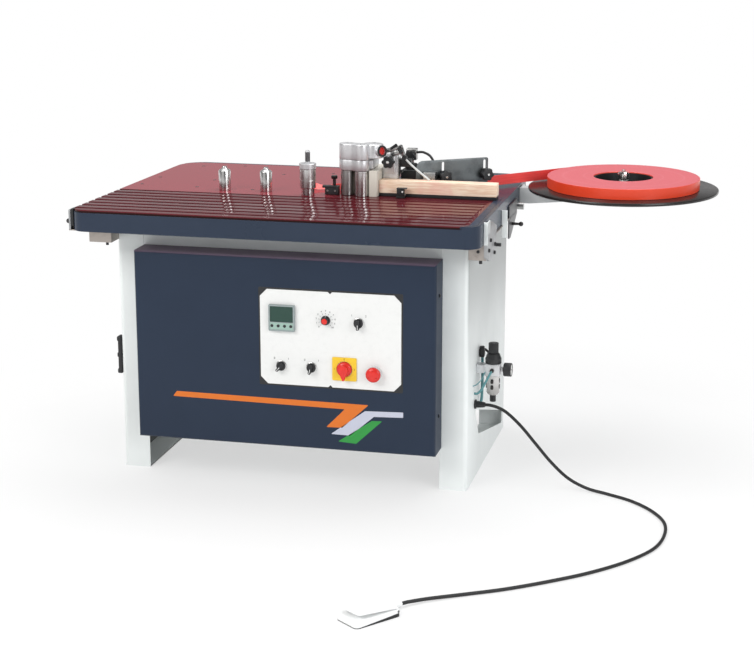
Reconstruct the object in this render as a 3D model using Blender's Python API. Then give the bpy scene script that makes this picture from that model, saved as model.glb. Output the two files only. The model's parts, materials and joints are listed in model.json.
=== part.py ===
"""A manual curvilinear edge banding machine: cabinet, grooved table, glue head, tape reel and foot pedal.

Lengths are metres and +Z is up. Places are measured from a datum on the floor beside the table's front left
corner. SHIFT then moves everything so that the origin lies on the floor under the middle of the machine.
"""

import math

import bmesh
import bpy
from mathutils import Matrix, Vector

for old in list(bpy.data.objects):
    bpy.data.objects.remove(old, do_unlink=True)

# ---------------------------------------------------------------- driving dimensions
GAP = 0.0003

TABLE_LEFT = -0.026
TABLE_SKEW = 0.034
TABLE_WIDTH = 1.100
TABLE_FRONT = 0.018
TABLE_DEPTH = 0.882
TABLE_HEIGHT = 0.770
APRON_HEIGHT = 0.060
APRON_WALL = 0.012
TOP_SHEET = 0.008
DECK = 0.008
FRONT_CORNER = 0.040
REAR_CORNER = 0.080
RIM = 0.012
SHEET_CORNER = 0.045
DECK_LEFT = 0.730
DECK_FRONT = 0.455
GROOVE_COUNT = 8
GROOVE_PITCH = 0.0425
GROOVE_WIDTH = 0.014
GROOVE_DEPTH = 0.0025
GROOVE_END = 1.062

BODY_LEFT = 0.051
BODY_RIGHT = 1.049
BODY_FRONT = 0.168
BODY_BACK = 0.791
BODY_FLOOR = 0.120
LEG_WIDTH = 0.077
SHEET = 0.003
BEND = 0.012
FOOT_PLATE = 0.004

COVER_LEFT = 0.130
COVER_RIGHT = 0.977
COVER_FRONT = 0.078
COVER_TOP = 0.652
COVER_BEND = 0.010

PANEL_LEFT = 0.491
PANEL_RIGHT = 0.8835
PANEL_LOW = 0.300
PANEL_HIGH = 0.565
PANEL_SHEET = 0.002
PANEL_FACE = COVER_FRONT - GAP - PANEL_SHEET

GLUE_ROLLER_X = 0.651
GLUE_ROLLER_Y = 0.414
GLUE_ROLLER_RADIUS = 0.018
PRESS_ROLLER_RADIUS = 0.0195
ROLLER_LINE_ANGLE = -15.5
POST_PLACES = ((0.289, 0.411), (0.410, 0.419))
EDGE_POST_PLACE = (0.544, 0.382)
LOBE_PLACE = (0.722, 0.428)
PRESSURE_KNOB_PLACE = (0.766, 0.440, 0.8648)
ROLLER_HEIGHT = 0.0725
AXLE_RADIUS = 0.006
GEAR_MODULE = 0.0015
GEAR_TEETH = 31
GEAR_LOW = 0.722
GEAR_THICK = 0.012
HEAD_RADIUS = 0.0223
HEAD_LOW = 0.0735
HEAD_SEAM = 0.103
HEAD_TOP = 0.147

SHAFT_HOLE = 0.0095

CHAIN_PITCH = 0.009525
DRIVE_TEETH = 15
ROLLER_TEETH = 21
SPROCKET_LOW = 0.695
SPROCKET_THICK = 0.008
MOTOR_X = 0.500
MOTOR_Y = 0.450

FENCE_LEFT = 0.744
FENCE_RIGHT = 1.078
FENCE_FRONT = 0.410
FENCE_DEPTH = 0.040
FENCE_FOOT = 0.0094
FENCE_TOP = 0.045

GUIDE_ANGLE = 34.0
GUIDE_RIGHT_X = 1.021
GUIDE_RIGHT_Y = 0.600
GUIDE_LENGTH = 0.223
GUIDE_LOW = 0.020
GUIDE_TOP = 0.092
GUIDE_SHEET = 0.003
GUIDE_KNOB_HEIGHT = 0.046
GUIDE_KNOB_PLACES = (0.083, 0.212)
TAPE_CLEARANCE = 0.004
TAPE_THICK = 0.0012

REEL_X = 1.400
REEL_Y = 0.690
REEL_RADIUS = 0.272
REEL_THICK = 0.009
REEL_LOW = 0.766
ROLL_RADIUS = 0.218
ROLL_BORE = 0.085
ROLL_HEIGHT = 0.031
SPINDLE_RADIUS = 0.010

REGULATOR_X = 1.095
REGULATOR_Y = 0.305
GLAND_Y = 0.274
GLAND_Z = 0.220
GLAND_LENGTH = 0.030
CORD_RADIUS = 0.0045

PEDAL_X = 0.990
PEDAL_Y = -0.7405
PEDAL_LENGTH = 0.130
PEDAL_WIDTH = 0.078
PEDAL_ANGLE = 51.0
PEDAL_BASE_HEIGHT = 0.018
TREADLE_TILT = 5.0
PEDAL_BOOT = 0.030
BOOT_HEIGHT = 0.0095
HINGE_INSET = 0.008

SCREW_REACH = 0.053
LEFT_SCREW_LENGTH = 0.0125
BRACKET_PLATE = 0.0085
LEFT_SCREW_PLACE = (0.060, 0.730)
RIGHT_SCREW_PLACE = (0.530, 0.685)
GUSSET_PLATE = 0.0045

SPEED_KNOB_PLACE = (0.675, 0.4865)
FEED_SELECTOR_PLACE = (0.767, 0.484)
HEATER_SELECTOR_PLACE = (0.550, 0.353)
MOTOR_SELECTOR_PLACE = (0.635, 0.353)
MAIN_HANDLE_PLACE = (0.727, 0.354)
ESTOP_PLACE = (0.810, 0.347)


# ---------------------------------------------------------------- outlines
def arc(centre, radius, start, end, steps):
    """Points on a circle from one angle to another, in degrees."""
    points = []
    for step in range(steps + 1):
        angle = math.radians(start + (end - start) * step / steps)
        points.append((centre[0] + radius * math.cos(angle), centre[1] + radius * math.sin(angle)))
    return points


def rectangle(low, high, radii, steps=5):
    """A rectangle with its four corners rounded: front left, front right, back right, back left."""
    centres = (
        (low[0] + radii[0], low[1] + radii[0]),
        (high[0] - radii[1], low[1] + radii[1]),
        (high[0] - radii[2], high[1] - radii[2]),
        (low[0] + radii[3], high[1] - radii[3]),
    )
    points = []
    for number, (centre, radius) in enumerate(zip(centres, radii)):
        points += arc(centre, radius, 180 + 90 * number, 270 + 90 * number, steps)
    return points


def rounded(corners, radius, steps=3):
    """A polygon with every corner rounded to one radius."""
    points = []
    count = len(corners)
    for number in range(count):
        corner = Vector(corners[number])
        before = (Vector(corners[number - 1]) - corner).normalized()
        after = (Vector(corners[(number + 1) % count]) - corner).normalized()
        half = before.angle(after) / 2
        reach = radius / math.tan(half)
        centre = corner + (before + after).normalized() * (radius / math.sin(half))
        first = corner + before * reach - centre
        last = corner + after * reach - centre
        for step in range(steps + 1):
            points.append(tuple(centre + first.lerp(last, step / steps).normalized() * radius))
    return points


def wheel(teeth, root, tip, root_share, tip_share):
    """The outline of a toothed wheel with straight flanks. A tooth points along +X."""
    points = []
    for tooth in range(teeth):
        for radius, share in ((root, -root_share), (tip, -tip_share), (tip, tip_share), (root, root_share)):
            angle = 2 * math.pi * (tooth + share) / teeth
            points.append((radius * math.cos(angle), radius * math.sin(angle)))
    return points


def star(lobes, radius, depth, steps=5):
    """The wavy outline of a star knob."""
    points = []
    for step in range(lobes * steps):
        angle = 2 * math.pi * step / (lobes * steps)
        reach = radius - depth * (0.5 - 0.5 * math.cos(lobes * angle))
        points.append((reach * math.cos(angle), reach * math.sin(angle)))
    return points


def capsule(first, second, radius, steps=10):
    """The outline round two equal circles."""
    heading = math.degrees(math.atan2(second[1] - first[1], second[0] - first[0]))
    return arc(second, radius, heading - 90, heading + 90, steps) + arc(
        first, radius, heading + 90, heading + 270, steps
    )


def belt(first, first_radius, second, second_radius, steps=10):
    """The outline of a belt round two circles of different sizes."""
    span = Vector(second) - Vector(first)
    heading = math.degrees(math.atan2(span.y, span.x))
    lean = math.degrees(math.acos((first_radius - second_radius) / span.length))
    return arc(second, second_radius, heading - lean, heading + lean, steps) + arc(
        first, first_radius, heading + lean, heading + 360 - lean, steps
    )


# ---------------------------------------------------------------- solids
def along(axis, across, up, height):
    """A point of an outline, stood on the axis that its prism runs along."""
    return {"X": (height, across, up), "Y": (across, height, up), "Z": (across, up, height)}[axis]


def prism(outline, low, high, axis="Z"):
    """A closed prism on an outline, from low to high along an axis."""
    bm = bmesh.new()
    ends = [[bm.verts.new(along(axis, *point, height)) for point in outline] for height in (low, high)]
    for end in ends:
        bm.faces.new(end)
    count = len(outline)
    for number in range(count):
        following = (number + 1) % count
        bm.faces.new((ends[0][number], ends[0][following], ends[1][following], ends[1][number]))
    return bm


def band(outer, inner, low, high):
    """A flat ring between two outlines with the same number of points."""
    bm = bmesh.new()
    rings = []
    for outline, height in ((outer, low), (outer, high), (inner, high), (inner, low)):
        rings.append([bm.verts.new((*point, height)) for point in outline])
    bridge(bm, rings, closed=True)
    return bm


def bridge(bm, rings, closed):
    """Faces between each ring of points and the next one."""
    pairs = list(zip(rings, rings[1:]))
    if closed:
        pairs.append((rings[-1], rings[0]))
    for lower, upper in pairs:
        count = max(len(lower), len(upper))
        for number in range(count):
            following = (number + 1) % count
            corners = [lower[number % len(lower)], lower[following % len(lower)]]
            corners += [upper[following % len(upper)], upper[number % len(upper)]]
            bm.faces.new(list(dict.fromkeys(corners)))


def turned(profile, steps=22, closed=False):
    """A solid turned about Z. The profile is (radius, height) points; a closed one makes a ring."""
    bm = bmesh.new()
    rings = []
    for radius, height in profile:
        count = 1 if radius == 0 else steps
        rings.append([])
        for step in range(count):
            angle = 2 * math.pi * step / count
            rings[-1].append(bm.verts.new((radius * math.cos(angle), radius * math.sin(angle), height)))
    bridge(bm, rings, closed)
    return bm


def rod(radius, low, high, steps=18):
    """A plain cylinder about Z."""
    return turned([(0, low), (radius, low), (radius, high), (0, high)], steps)


def block(low, high, bevel=0.0, segments=2):
    """A box between two corners, with all its edges rounded if a bevel is given."""
    outline = [(low[0], low[1]), (high[0], low[1]), (high[0], high[1]), (low[0], high[1])]
    bm = prism(outline, low[2], high[2])
    if bevel:
        bmesh.ops.recalc_face_normals(bm, faces=bm.faces)
        bmesh.ops.bevel(bm, geom=bm.edges, offset=bevel, segments=segments, affect="EDGES", profile=0.5)
    return bm


def soften(bm, width, where, segments=2):
    """Rounds the edges of a solid whose two ends pass a test."""
    bmesh.ops.recalc_face_normals(bm, faces=bm.faces)
    edges = [edge for edge in bm.edges if all(where(vert.co) for vert in edge.verts)]
    bmesh.ops.bevel(bm, geom=edges, offset=width, segments=segments, affect="EDGES", profile=0.5)
    return bm


# ---------------------------------------------------------------- finishes and objects
def finish(name, colour, roughness, metallic=0.0):
    """A plain Principled finish."""
    made = bpy.data.materials.new(name)
    made.use_nodes = True
    shader = made.node_tree.nodes["Principled BSDF"]
    shader.inputs["Base Color"].default_value = (*colour, 1.0)
    shader.inputs["Roughness"].default_value = roughness
    shader.inputs["Metallic"].default_value = metallic
    return made


FINISHES = {
    "cabinet_white": finish("cabinet_white", (0.72, 0.73, 0.71), 0.45),
    "table_blue": finish("table_blue", (0.062, 0.082, 0.135), 0.35),
    "cover_blue": finish("cover_blue", (0.045, 0.062, 0.095), 0.40),
    "top_red": finish("top_red", (0.20, 0.022, 0.032), 0.18),
    "panel_white": finish("panel_white", (0.78, 0.78, 0.76), 0.40),
    "steel": finish("steel", (0.50, 0.49, 0.47), 0.28, 1.0),
    "plate_steel": finish("plate_steel", (0.20, 0.23, 0.23), 0.38, 1.0),
    "aluminium": finish("aluminium", (0.66, 0.67, 0.69), 0.35, 1.0),
    "pot_cream": finish("pot_cream", (0.72, 0.68, 0.60), 0.45),
    "black": finish("black", (0.015, 0.017, 0.018), 0.45),
    "wood": finish("wood", (0.74, 0.58, 0.42), 0.55),
    "tape_red": finish("tape_red", (0.80, 0.055, 0.035), 0.35),
    "disc_black": finish("disc_black", (0.018, 0.016, 0.016), 0.30),
    "arm_grey": finish("arm_grey", (0.42, 0.44, 0.45), 0.45),
    "knob_red": finish("knob_red", (0.68, 0.03, 0.02), 0.30),
    "bowl": finish("bowl", (0.40, 0.42, 0.42), 0.35, 0.6),
    "hose_teal": finish("hose_teal", (0.13, 0.30, 0.32), 0.35),
    "rubber": finish("rubber", (0.012, 0.012, 0.013), 0.60),
    "pedal_cream": finish("pedal_cream", (0.76, 0.76, 0.74), 0.45),
    "motor_grey": finish("motor_grey", (0.16, 0.18, 0.20), 0.45),
}


def pedal_outline():
    """The pedal's footprint, at its own place and angle."""
    half = (PEDAL_LENGTH / 2, PEDAL_WIDTH / 2)
    turn = Matrix.Rotation(math.radians(PEDAL_ANGLE), 2)
    corners = rectangle((-half[0], -half[1]), half, (0.012,) * 4)
    return [turn @ Vector(point) + Vector((PEDAL_X, PEDAL_Y)) for point in corners]


SHIFT = Vector(
    (
        -(REEL_X + REEL_RADIUS - SCREW_REACH) / 2,
        -(REEL_Y + REEL_RADIUS + min(point.y for point in pedal_outline())) / 2,
        0,
    )
)


def piece(name, bm, colour, at=(0, 0, 0), turn=(0, 0, 0)):
    """Makes a named object of a solid, at a place measured from the table's front left corner."""
    bmesh.ops.recalc_face_normals(bm, faces=bm.faces)
    mesh = bpy.data.meshes.new(name)
    bm.to_mesh(mesh)
    bm.free()
    mesh.shade_smooth()
    mesh.set_sharp_from_angle(angle=math.radians(32))
    mesh.materials.append(FINISHES[colour])
    made = bpy.data.objects.new(name, mesh)
    bpy.context.collection.objects.link(made)
    made.location = Vector(at) + SHIFT
    made.rotation_euler = [math.radians(angle) for angle in turn]
    return made


def shape(target, operation, bm, at=(0, 0, 0), turn=(0, 0, 0)):
    """Cuts a tool out of an object with DIFFERENCE, or joins it on with UNION."""
    name = f"{target.name}_tool_{len(target.modifiers)}"
    tool = piece(name, bm, "steel", at, turn)
    tool.hide_render = True
    tool.display_type = "WIRE"
    modifier = target.modifiers.new(name, "BOOLEAN")
    modifier.operation = operation
    modifier.solver = "EXACT"
    modifier.object = tool


# ---------------------------------------------------------------- places worked out from the dimensions
DECK_UNDERSIDE = TABLE_HEIGHT - TOP_SHEET - DECK
CABINET_TOP = DECK_UNDERSIDE - GAP
ON_TABLE = TABLE_HEIGHT + GAP
FACING = (90, 0, 0)
ROLLER_SPAN = GEAR_MODULE * GEAR_TEETH
PRESS_ROLLER_X = GLUE_ROLLER_X + ROLLER_SPAN * math.cos(math.radians(ROLLER_LINE_ANGLE))
PRESS_ROLLER_Y = GLUE_ROLLER_Y + ROLLER_SPAN * math.sin(math.radians(ROLLER_LINE_ANGLE))
GUIDE_HEADING = Vector((math.cos(math.radians(GUIDE_ANGLE)), math.sin(math.radians(GUIDE_ANGLE))))
GUIDE_BACK = Vector((-GUIDE_HEADING.y, GUIDE_HEADING.x))
GUIDE_LEFT = Vector((GUIDE_RIGHT_X, GUIDE_RIGHT_Y)) - GUIDE_HEADING * GUIDE_LENGTH
ROLL_LOW = REEL_LOW + REEL_THICK + GAP


# ---------------------------------------------------------------- cabinet
def channel_outline(width, depth):
    """The plan of a bent sheet: a front leg, the side wall and a rear leg."""
    inner = BEND - SHEET
    outer_path = [(width, 0)] + arc((BEND, BEND), BEND, 270, 180, 4)
    outer_path += arc((BEND, depth - BEND), BEND, 180, 90, 4) + [(width, depth)]
    inner_path = [(width, depth - SHEET)] + arc((BEND, depth - BEND), inner, 90, 180, 4)
    inner_path += arc((BEND, BEND), inner, 180, 270, 4) + [(width, SHEET)]
    return outer_path + inner_path


def side_frame(name, edge, side):
    """One end of the cabinet, bent from sheet, with a sloping slot above its foot."""
    depth = BODY_BACK - BODY_FRONT
    plan = [(side * x, y) for x, y in channel_outline(LEG_WIDTH, depth)]
    frame = piece(name, prism(plan, 0, CABINET_TOP), "cabinet_white", (edge, BODY_FRONT, 0))
    far = side * LEG_WIDTH
    foot = block((min(0, far) + 0.001, 0.0015, 0), (max(0, far) - 0.001, depth - 0.0015, FOOT_PLATE))
    shape(frame, "UNION", foot, (edge, BODY_FRONT, 0))
    slot = rounded([(0.112, 0.203), (0.178, 0.112), (0.585, 0.022), (0.585, 0.062)], 0.006)
    shape(frame, "DIFFERENCE", prism(slot, -0.02, 0.02, "X"), (edge, BODY_FRONT, 0))


def cabinet():
    side_frame("side_frame_left", BODY_LEFT, 1)
    side_frame("side_frame_right", BODY_RIGHT, -1)
    left = BODY_LEFT + LEG_WIDTH + GAP
    right = BODY_RIGHT - LEG_WIDTH - GAP
    front = block((left, BODY_FRONT, BODY_FLOOR), (right, BODY_FRONT + PANEL_SHEET, CABINET_TOP))
    piece("front_panel", front, "cabinet_white")
    rear = block((left, BODY_BACK - PANEL_SHEET, BODY_FLOOR), (right, BODY_BACK, CABINET_TOP))
    piece("rear_panel", rear, "cabinet_white")
    inset = 0.007
    pan = block(
        (BODY_LEFT + inset, BODY_FRONT + inset, 0.215),
        (BODY_RIGHT - inset, BODY_BACK - inset, 0.218),
    )
    piece("floor_pan", pan, "cabinet_white")


def front_cover():
    """A deep cover over the electrics: five walls, open at the back."""
    back = BODY_FRONT - GAP
    walls = block((COVER_LEFT, COVER_FRONT, BODY_FLOOR), (COVER_RIGHT, back, COVER_TOP))
    soften(walls, COVER_BEND, lambda co: co.y < COVER_FRONT + GAP, 3)
    cover = piece("front_cover", walls, "cover_blue")
    hollow = block(
        (COVER_LEFT + SHEET, COVER_FRONT + SHEET, BODY_FLOOR + SHEET),
        (COVER_RIGHT - SHEET, back + 0.01, COVER_TOP - SHEET),
        0.004,
    )
    shape(cover, "DIFFERENCE", hollow)


# ---------------------------------------------------------------- table
def table_outline(inset):
    """The table's plan, drawn in by inset: small corners in front, large ones behind, left end askew."""
    near = TABLE_FRONT + FRONT_CORNER
    far = TABLE_DEPTH - REAR_CORNER
    small = FRONT_CORNER - inset
    large = REAR_CORNER - inset
    points = arc((TABLE_LEFT + FRONT_CORNER, near), small, 180, 270, 8)
    points += arc((TABLE_WIDTH - FRONT_CORNER, near), small, 270, 360, 8)
    points += arc((TABLE_WIDTH - REAR_CORNER, far), large, 0, 90, 8)
    points += arc((TABLE_LEFT + TABLE_SKEW + REAR_CORNER, far), large, 90, 180, 8)
    return points


def sheet_outline(ease):
    """The red sheet's plan, without the steel deck behind the fence. ease widens it for its recess."""
    right = TABLE_WIDTH - RIM + ease
    corner = SHEET_CORNER
    back = TABLE_DEPTH - RIM + ease
    inset = 0.0015 - ease * 10
    left = TABLE_LEFT + inset
    near = TABLE_FRONT + inset
    rear = REAR_CORNER - RIM
    points = [(DECK_LEFT + ease, back)]
    points += arc((left + TABLE_SKEW + rear, back - rear), rear, 90, 180, 8)
    points += arc((left + FRONT_CORNER, near + FRONT_CORNER), FRONT_CORNER, 180, 270, 8)
    points += arc((right - corner, near + corner), corner, 270, 360, 8)
    points += [(right, DECK_FRONT + ease), (DECK_LEFT + ease, DECK_FRONT + ease)]
    return points


def shaft_holes(target):
    """The two roller shafts pass through the table."""
    for x, y in ((GLUE_ROLLER_X, GLUE_ROLLER_Y), (PRESS_ROLLER_X, PRESS_ROLLER_Y)):
        shape(target, "DIFFERENCE", rod(SHAFT_HOLE, -0.03, 0.03), (x, y, TABLE_HEIGHT))


def table():
    slab = prism(table_outline(0), TABLE_HEIGHT - APRON_HEIGHT, TABLE_HEIGHT)
    frame = piece("table_frame", slab, "table_blue")
    inner = table_outline(APRON_WALL)
    shape(frame, "DIFFERENCE", prism(inner, TABLE_HEIGHT - 2 * APRON_HEIGHT, DECK_UNDERSIDE))
    recess_floor = TABLE_HEIGHT - TOP_SHEET
    shape(frame, "DIFFERENCE", prism(sheet_outline(GAP), recess_floor, TABLE_HEIGHT + 0.01))
    shaft_holes(frame)

    sheet = prism(sheet_outline(0), recess_floor + GAP, TABLE_HEIGHT)
    top = piece("table_top", sheet, "top_red")
    grooves = bmesh.new()
    for number in range(GROOVE_COUNT):
        middle = TABLE_FRONT + (number + 0.78) * GROOVE_PITCH
        outline = rectangle(
            (TABLE_LEFT - 0.02, middle - GROOVE_WIDTH / 2),
            (GROOVE_END, middle + GROOVE_WIDTH / 2),
            (0.001, GROOVE_WIDTH / 2.1, GROOVE_WIDTH / 2.1, 0.001),
            4,
        )
        groove = prism(outline, TABLE_HEIGHT - GROOVE_DEPTH, TABLE_HEIGHT + 0.01)
        copy = bpy.data.meshes.new("groove")
        groove.to_mesh(copy)
        groove.free()
        grooves.from_mesh(copy)
        bpy.data.meshes.remove(copy)
    shape(top, "DIFFERENCE", grooves)
    shaft_holes(top)


# ---------------------------------------------------------------- guide posts
def posts():
    roller = [(0, 0), (0.0168, 0), (0.0175, 0.001), (0.0175, 0.0575), (0.0165, 0.0586)]
    roller += [(0.0105, 0.0600), (0.0050, 0.0685), (0, 0.069)]
    for number, place in enumerate(POST_PLACES, 1):
        piece(f"post_roller_{number}", turned(roller), "steel", (*place, ON_TABLE))

    barrel = [(0, 0), (0.019, 0), (0.019, 0.021), (0.023, 0.022), (0.023, 0.074), (0.022, 0.075)]
    barrel += [(0.0085, 0.075), (0.0085, 0.020), (0, 0.020)]
    piece("edge_post", turned(barrel), "steel", (*EDGE_POST_PLACE, ON_TABLE))
    cap = [(0, 0.026), (0.008, 0.026), (0.008, 0.0754), (0.023, 0.0754), (0.024, 0.0765), (0.024, 0.090)]
    cap += [(0.022, 0.091), (0.0065, 0.091), (0.0065, 0.1265), (0.0055, 0.1275), (0, 0.1275)]
    piece("height_rod", turned(cap), "steel", (*EDGE_POST_PLACE, ON_TABLE))


# ---------------------------------------------------------------- glue head
def rollers():
    stub = HEAD_LOW + 0.018
    for name, x, y, radius in (
        ("glue_roller", GLUE_ROLLER_X, GLUE_ROLLER_Y, GLUE_ROLLER_RADIUS),
        ("press_roller", PRESS_ROLLER_X, PRESS_ROLLER_Y, PRESS_ROLLER_RADIUS),
    ):
        profile = [(0, 0.0005), (radius - 0.001, 0.0005), (radius, 0.0015), (radius, ROLLER_HEIGHT - 0.001)]
        profile += [(radius - 0.001, ROLLER_HEIGHT), (AXLE_RADIUS, ROLLER_HEIGHT), (AXLE_RADIUS, stub)]
        piece(name, turned(profile + [(0, stub)]), "steel", (x, y, TABLE_HEIGHT))


def glue_head():
    pot = [(0.640, 0.440), (0.7175, 0.440), (0.7175, 0.392), (0.7425, 0.392)]
    pot += [(0.7425, 0.520), (0.640, 0.520)]
    piece("glue_pot", prism(pot, 0, HEAD_LOW - 2 * GAP), "pot_cream", (0, 0, ON_TABLE))

    centres = ((GLUE_ROLLER_X, GLUE_ROLLER_Y), (PRESS_ROLLER_X, PRESS_ROLLER_Y))
    lower = prism(capsule(*centres, HEAD_RADIUS), HEAD_LOW, HEAD_SEAM)
    housing = piece("head_housing", lower, "aluminium", (0, 0, TABLE_HEIGHT))
    bridge_block = block((0.655, 0.415, HEAD_LOW + 0.001), (0.725, 0.490, HEAD_SEAM - 0.002), 0.002)
    shape(housing, "UNION", bridge_block, (0, 0, TABLE_HEIGHT))
    for x, y in centres:
        bore = rod(AXLE_RADIUS + GAP, HEAD_LOW - 0.01, HEAD_SEAM - 0.006)
        shape(housing, "DIFFERENCE", bore, (x, y, TABLE_HEIGHT))

    upper = prism(capsule(*centres, HEAD_RADIUS), HEAD_SEAM + GAP, HEAD_TOP)
    soften(upper, 0.003, lambda co: co.z > HEAD_TOP - GAP)
    cap = piece("head_cap", upper, "aluminium", (0, 0, TABLE_HEIGHT))
    lobe = [(0, HEAD_SEAM + 0.004), (0.028, HEAD_SEAM + 0.004), (0.030, HEAD_SEAM + 0.006)]
    lobe += [(0.030, HEAD_TOP - 0.0042), (0.0275, HEAD_TOP - 0.0012), (0, HEAD_TOP - 0.0012)]
    shape(cap, "UNION", turned(lobe), (*LOBE_PLACE, TABLE_HEIGHT))
    spout = turned([(0, 0), (0.0145, 0), (0.0145, 0.043), (0.0125, 0.043), (0.0105, 0.030), (0, 0.030)])
    shape(cap, "UNION", spout, (*LOBE_PLACE, TABLE_HEIGHT + 0.1235), (82, 0, 52))


def cutter():
    """The tape cutter beside the glue pot: a column, its blade, an air cylinder and a trimmer motor."""
    upright = block((0.746, 0.4525, 0), (0.788, 0.474, 0.112), 0.0015)
    column = piece("cutter_frame", upright, "aluminium", (0, 0, ON_TABLE))
    shape(column, "UNION", block((0.752, 0.445, 0.060), (0.780, 0.455, 0.108), 0.001), (0, 0, ON_TABLE))
    shape(column, "UNION", rod(0.006, -0.03, 0.012), (0.770, 0.4615, ON_TABLE + 0.120))
    blade = [(0.4530, 0.046), (0.4800, 0.058), (0.4800, 0.104), (0.4530, 0.104)]
    piece("cutter_blade", prism(blade, 0.7893, 0.7913, "X"), "steel", (0, 0, ON_TABLE))

    cylinder = [(0, 0), (0.0115, 0), (0.0115, 0.010), (0.0105, 0.011), (0.0105, 0.066), (0.0115, 0.067)]
    cylinder += [(0.0115, 0.078), (0.0040, 0.078), (0.0040, 0.090), (0, 0.090)]
    piece("air_cylinder", turned(cylinder), "steel", (0.762, 0.492, ON_TABLE))
    case = block((0.786, 0.500, 0), (0.838, 0.546, 0.062), 0.003)
    motor = piece("trim_motor", case, "black", (0, 0, ON_TABLE))
    shape(motor, "UNION", rod(0.018, 0.05, 0.078), (0.812, 0.523, ON_TABLE))

    knob = prism(star(6, 0.0165, 0.0035), 0.004, 0.020)
    soften(knob, 0.002, lambda co: co.z > 0.0199)
    handle = piece("pressure_knob", knob, "black", PRESSURE_KNOB_PLACE, FACING)
    shape(handle, "UNION", rod(0.007, -0.0046, 0.006), PRESSURE_KNOB_PLACE, FACING)


def star_knob(name, at, turn, bolt):
    """A clamping knob whose bolt reaches back through the plate that it holds."""
    knob = prism(star(6, 0.0155, 0.0032), 0.006, 0.019)
    soften(knob, 0.002, lambda co: co.z > 0.0189)
    handle = piece(name, knob, "black", at, turn)
    shape(handle, "UNION", turned([(0, 0), (0.0095, 0), (0.0075, 0.008), (0, 0.008)], 18), at, turn)
    shape(handle, "UNION", rod(0.0032, -bolt, 0.0215, 16), at, turn)


# ---------------------------------------------------------------- fence and tape guide
def fence():
    foot = 0.002
    back = FENCE_FRONT + FENCE_DEPTH
    section = [(FENCE_FRONT + foot, 0), (back - foot, 0), (back - foot, FENCE_FOOT), (back, FENCE_FOOT)]
    section += [(back, FENCE_TOP), (FENCE_FRONT, FENCE_TOP), (FENCE_FRONT, FENCE_FOOT)]
    section += [(FENCE_FRONT + foot, FENCE_FOOT)]
    piece("fence_board", prism(section, FENCE_LEFT, FENCE_RIGHT, "X"), "wood", (0, 0, ON_TABLE))


def tape_guide():
    turn = (0, 0, GUIDE_ANGLE)
    at = (*GUIDE_LEFT, TABLE_HEIGHT)
    outline = rectangle((0, GUIDE_LOW), (GUIDE_LENGTH, GUIDE_TOP), (0.004, 0.004, 0.006, 0.022), 4)
    plate = piece("tape_guide_plate", prism(outline, 0, GUIDE_SHEET, "Y"), "plate_steel", at, turn)
    for place in GUIDE_KNOB_PLACES:
        slot = rectangle((place - 0.004, 0.036), (place + 0.004, GUIDE_TOP - 0.006), (0.0039,) * 4, 4)
        shape(plate, "DIFFERENCE", prism(slot, -0.01, 0.02, "Y"), at, turn)

    bracket_face = GUIDE_SHEET + 2 * TAPE_CLEARANCE
    bracket = prism(
        [(0.040, GAP), (GUIDE_LENGTH - 0.002, GAP), (GUIDE_LENGTH - 0.002, 0.058), (0.040, 0.058)],
        bracket_face,
        bracket_face + 0.008,
        "Y",
    )
    stand = piece("guide_bracket", bracket, "plate_steel", at, turn)
    foot = block((0.042, bracket_face + 0.001, GAP), (GUIDE_LENGTH - 0.004, bracket_face + 0.034, 0.008))
    shape(stand, "UNION", foot, at, turn)

    for number, place in enumerate(GUIDE_KNOB_PLACES, 1):
        where = GUIDE_LEFT + GUIDE_HEADING * place - GUIDE_BACK * GAP
        star_knob(
            f"guide_knob_{number}",
            (*where, TABLE_HEIGHT + GUIDE_KNOB_HEIGHT),
            (90, 0, GUIDE_ANGLE),
            bracket_face,
        )


def tape_path():
    """The tape's middle line, from beside the cutter, behind the guide plate and out to the roll."""
    behind = GUIDE_BACK * (GUIDE_SHEET + TAPE_CLEARANCE)
    start = GUIDE_LEFT + behind - GUIDE_HEADING * 0.040
    guide_end = GUIDE_LEFT + behind + GUIDE_HEADING * (GUIDE_LENGTH + 0.004)
    centre = Vector((REEL_X, REEL_Y))
    span = centre - guide_end
    reach = ROLL_RADIUS + GAP + TAPE_THICK / 2
    heading = math.atan2(span.y, span.x) + math.asin(reach / span.length)
    run = math.sqrt(span.length**2 - reach**2)
    straight = Vector((math.cos(heading), math.sin(heading)))
    points = [start.lerp(guide_end, step / 4) for step in range(4)]
    bend = 0.030
    before = guide_end - GUIDE_HEADING * bend
    after = guide_end + straight * bend
    for step in range(7):
        share = step / 6
        points.append(before * (1 - share) ** 2 + guide_end * 2 * share * (1 - share) + after * share**2)
    points.append(guide_end + straight * (run / 2))
    points.append(guide_end + straight * (run - 0.002))
    return points


def feed_tape():
    path = tape_path()
    sides = ([], [])
    for number, point in enumerate(path):
        ahead = path[min(number + 1, len(path) - 1)] - path[max(number - 1, 0)]
        across = Vector((-ahead.y, ahead.x)).normalized() * (TAPE_THICK / 2)
        sides[0].append(point + across)
        sides[1].append(point - across)
    outline = sides[1] + sides[0][::-1]
    low = ROLL_LOW + 0.001
    piece("feed_tape", prism(outline, low, low + ROLL_HEIGHT - 0.002), "tape_red")


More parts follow.
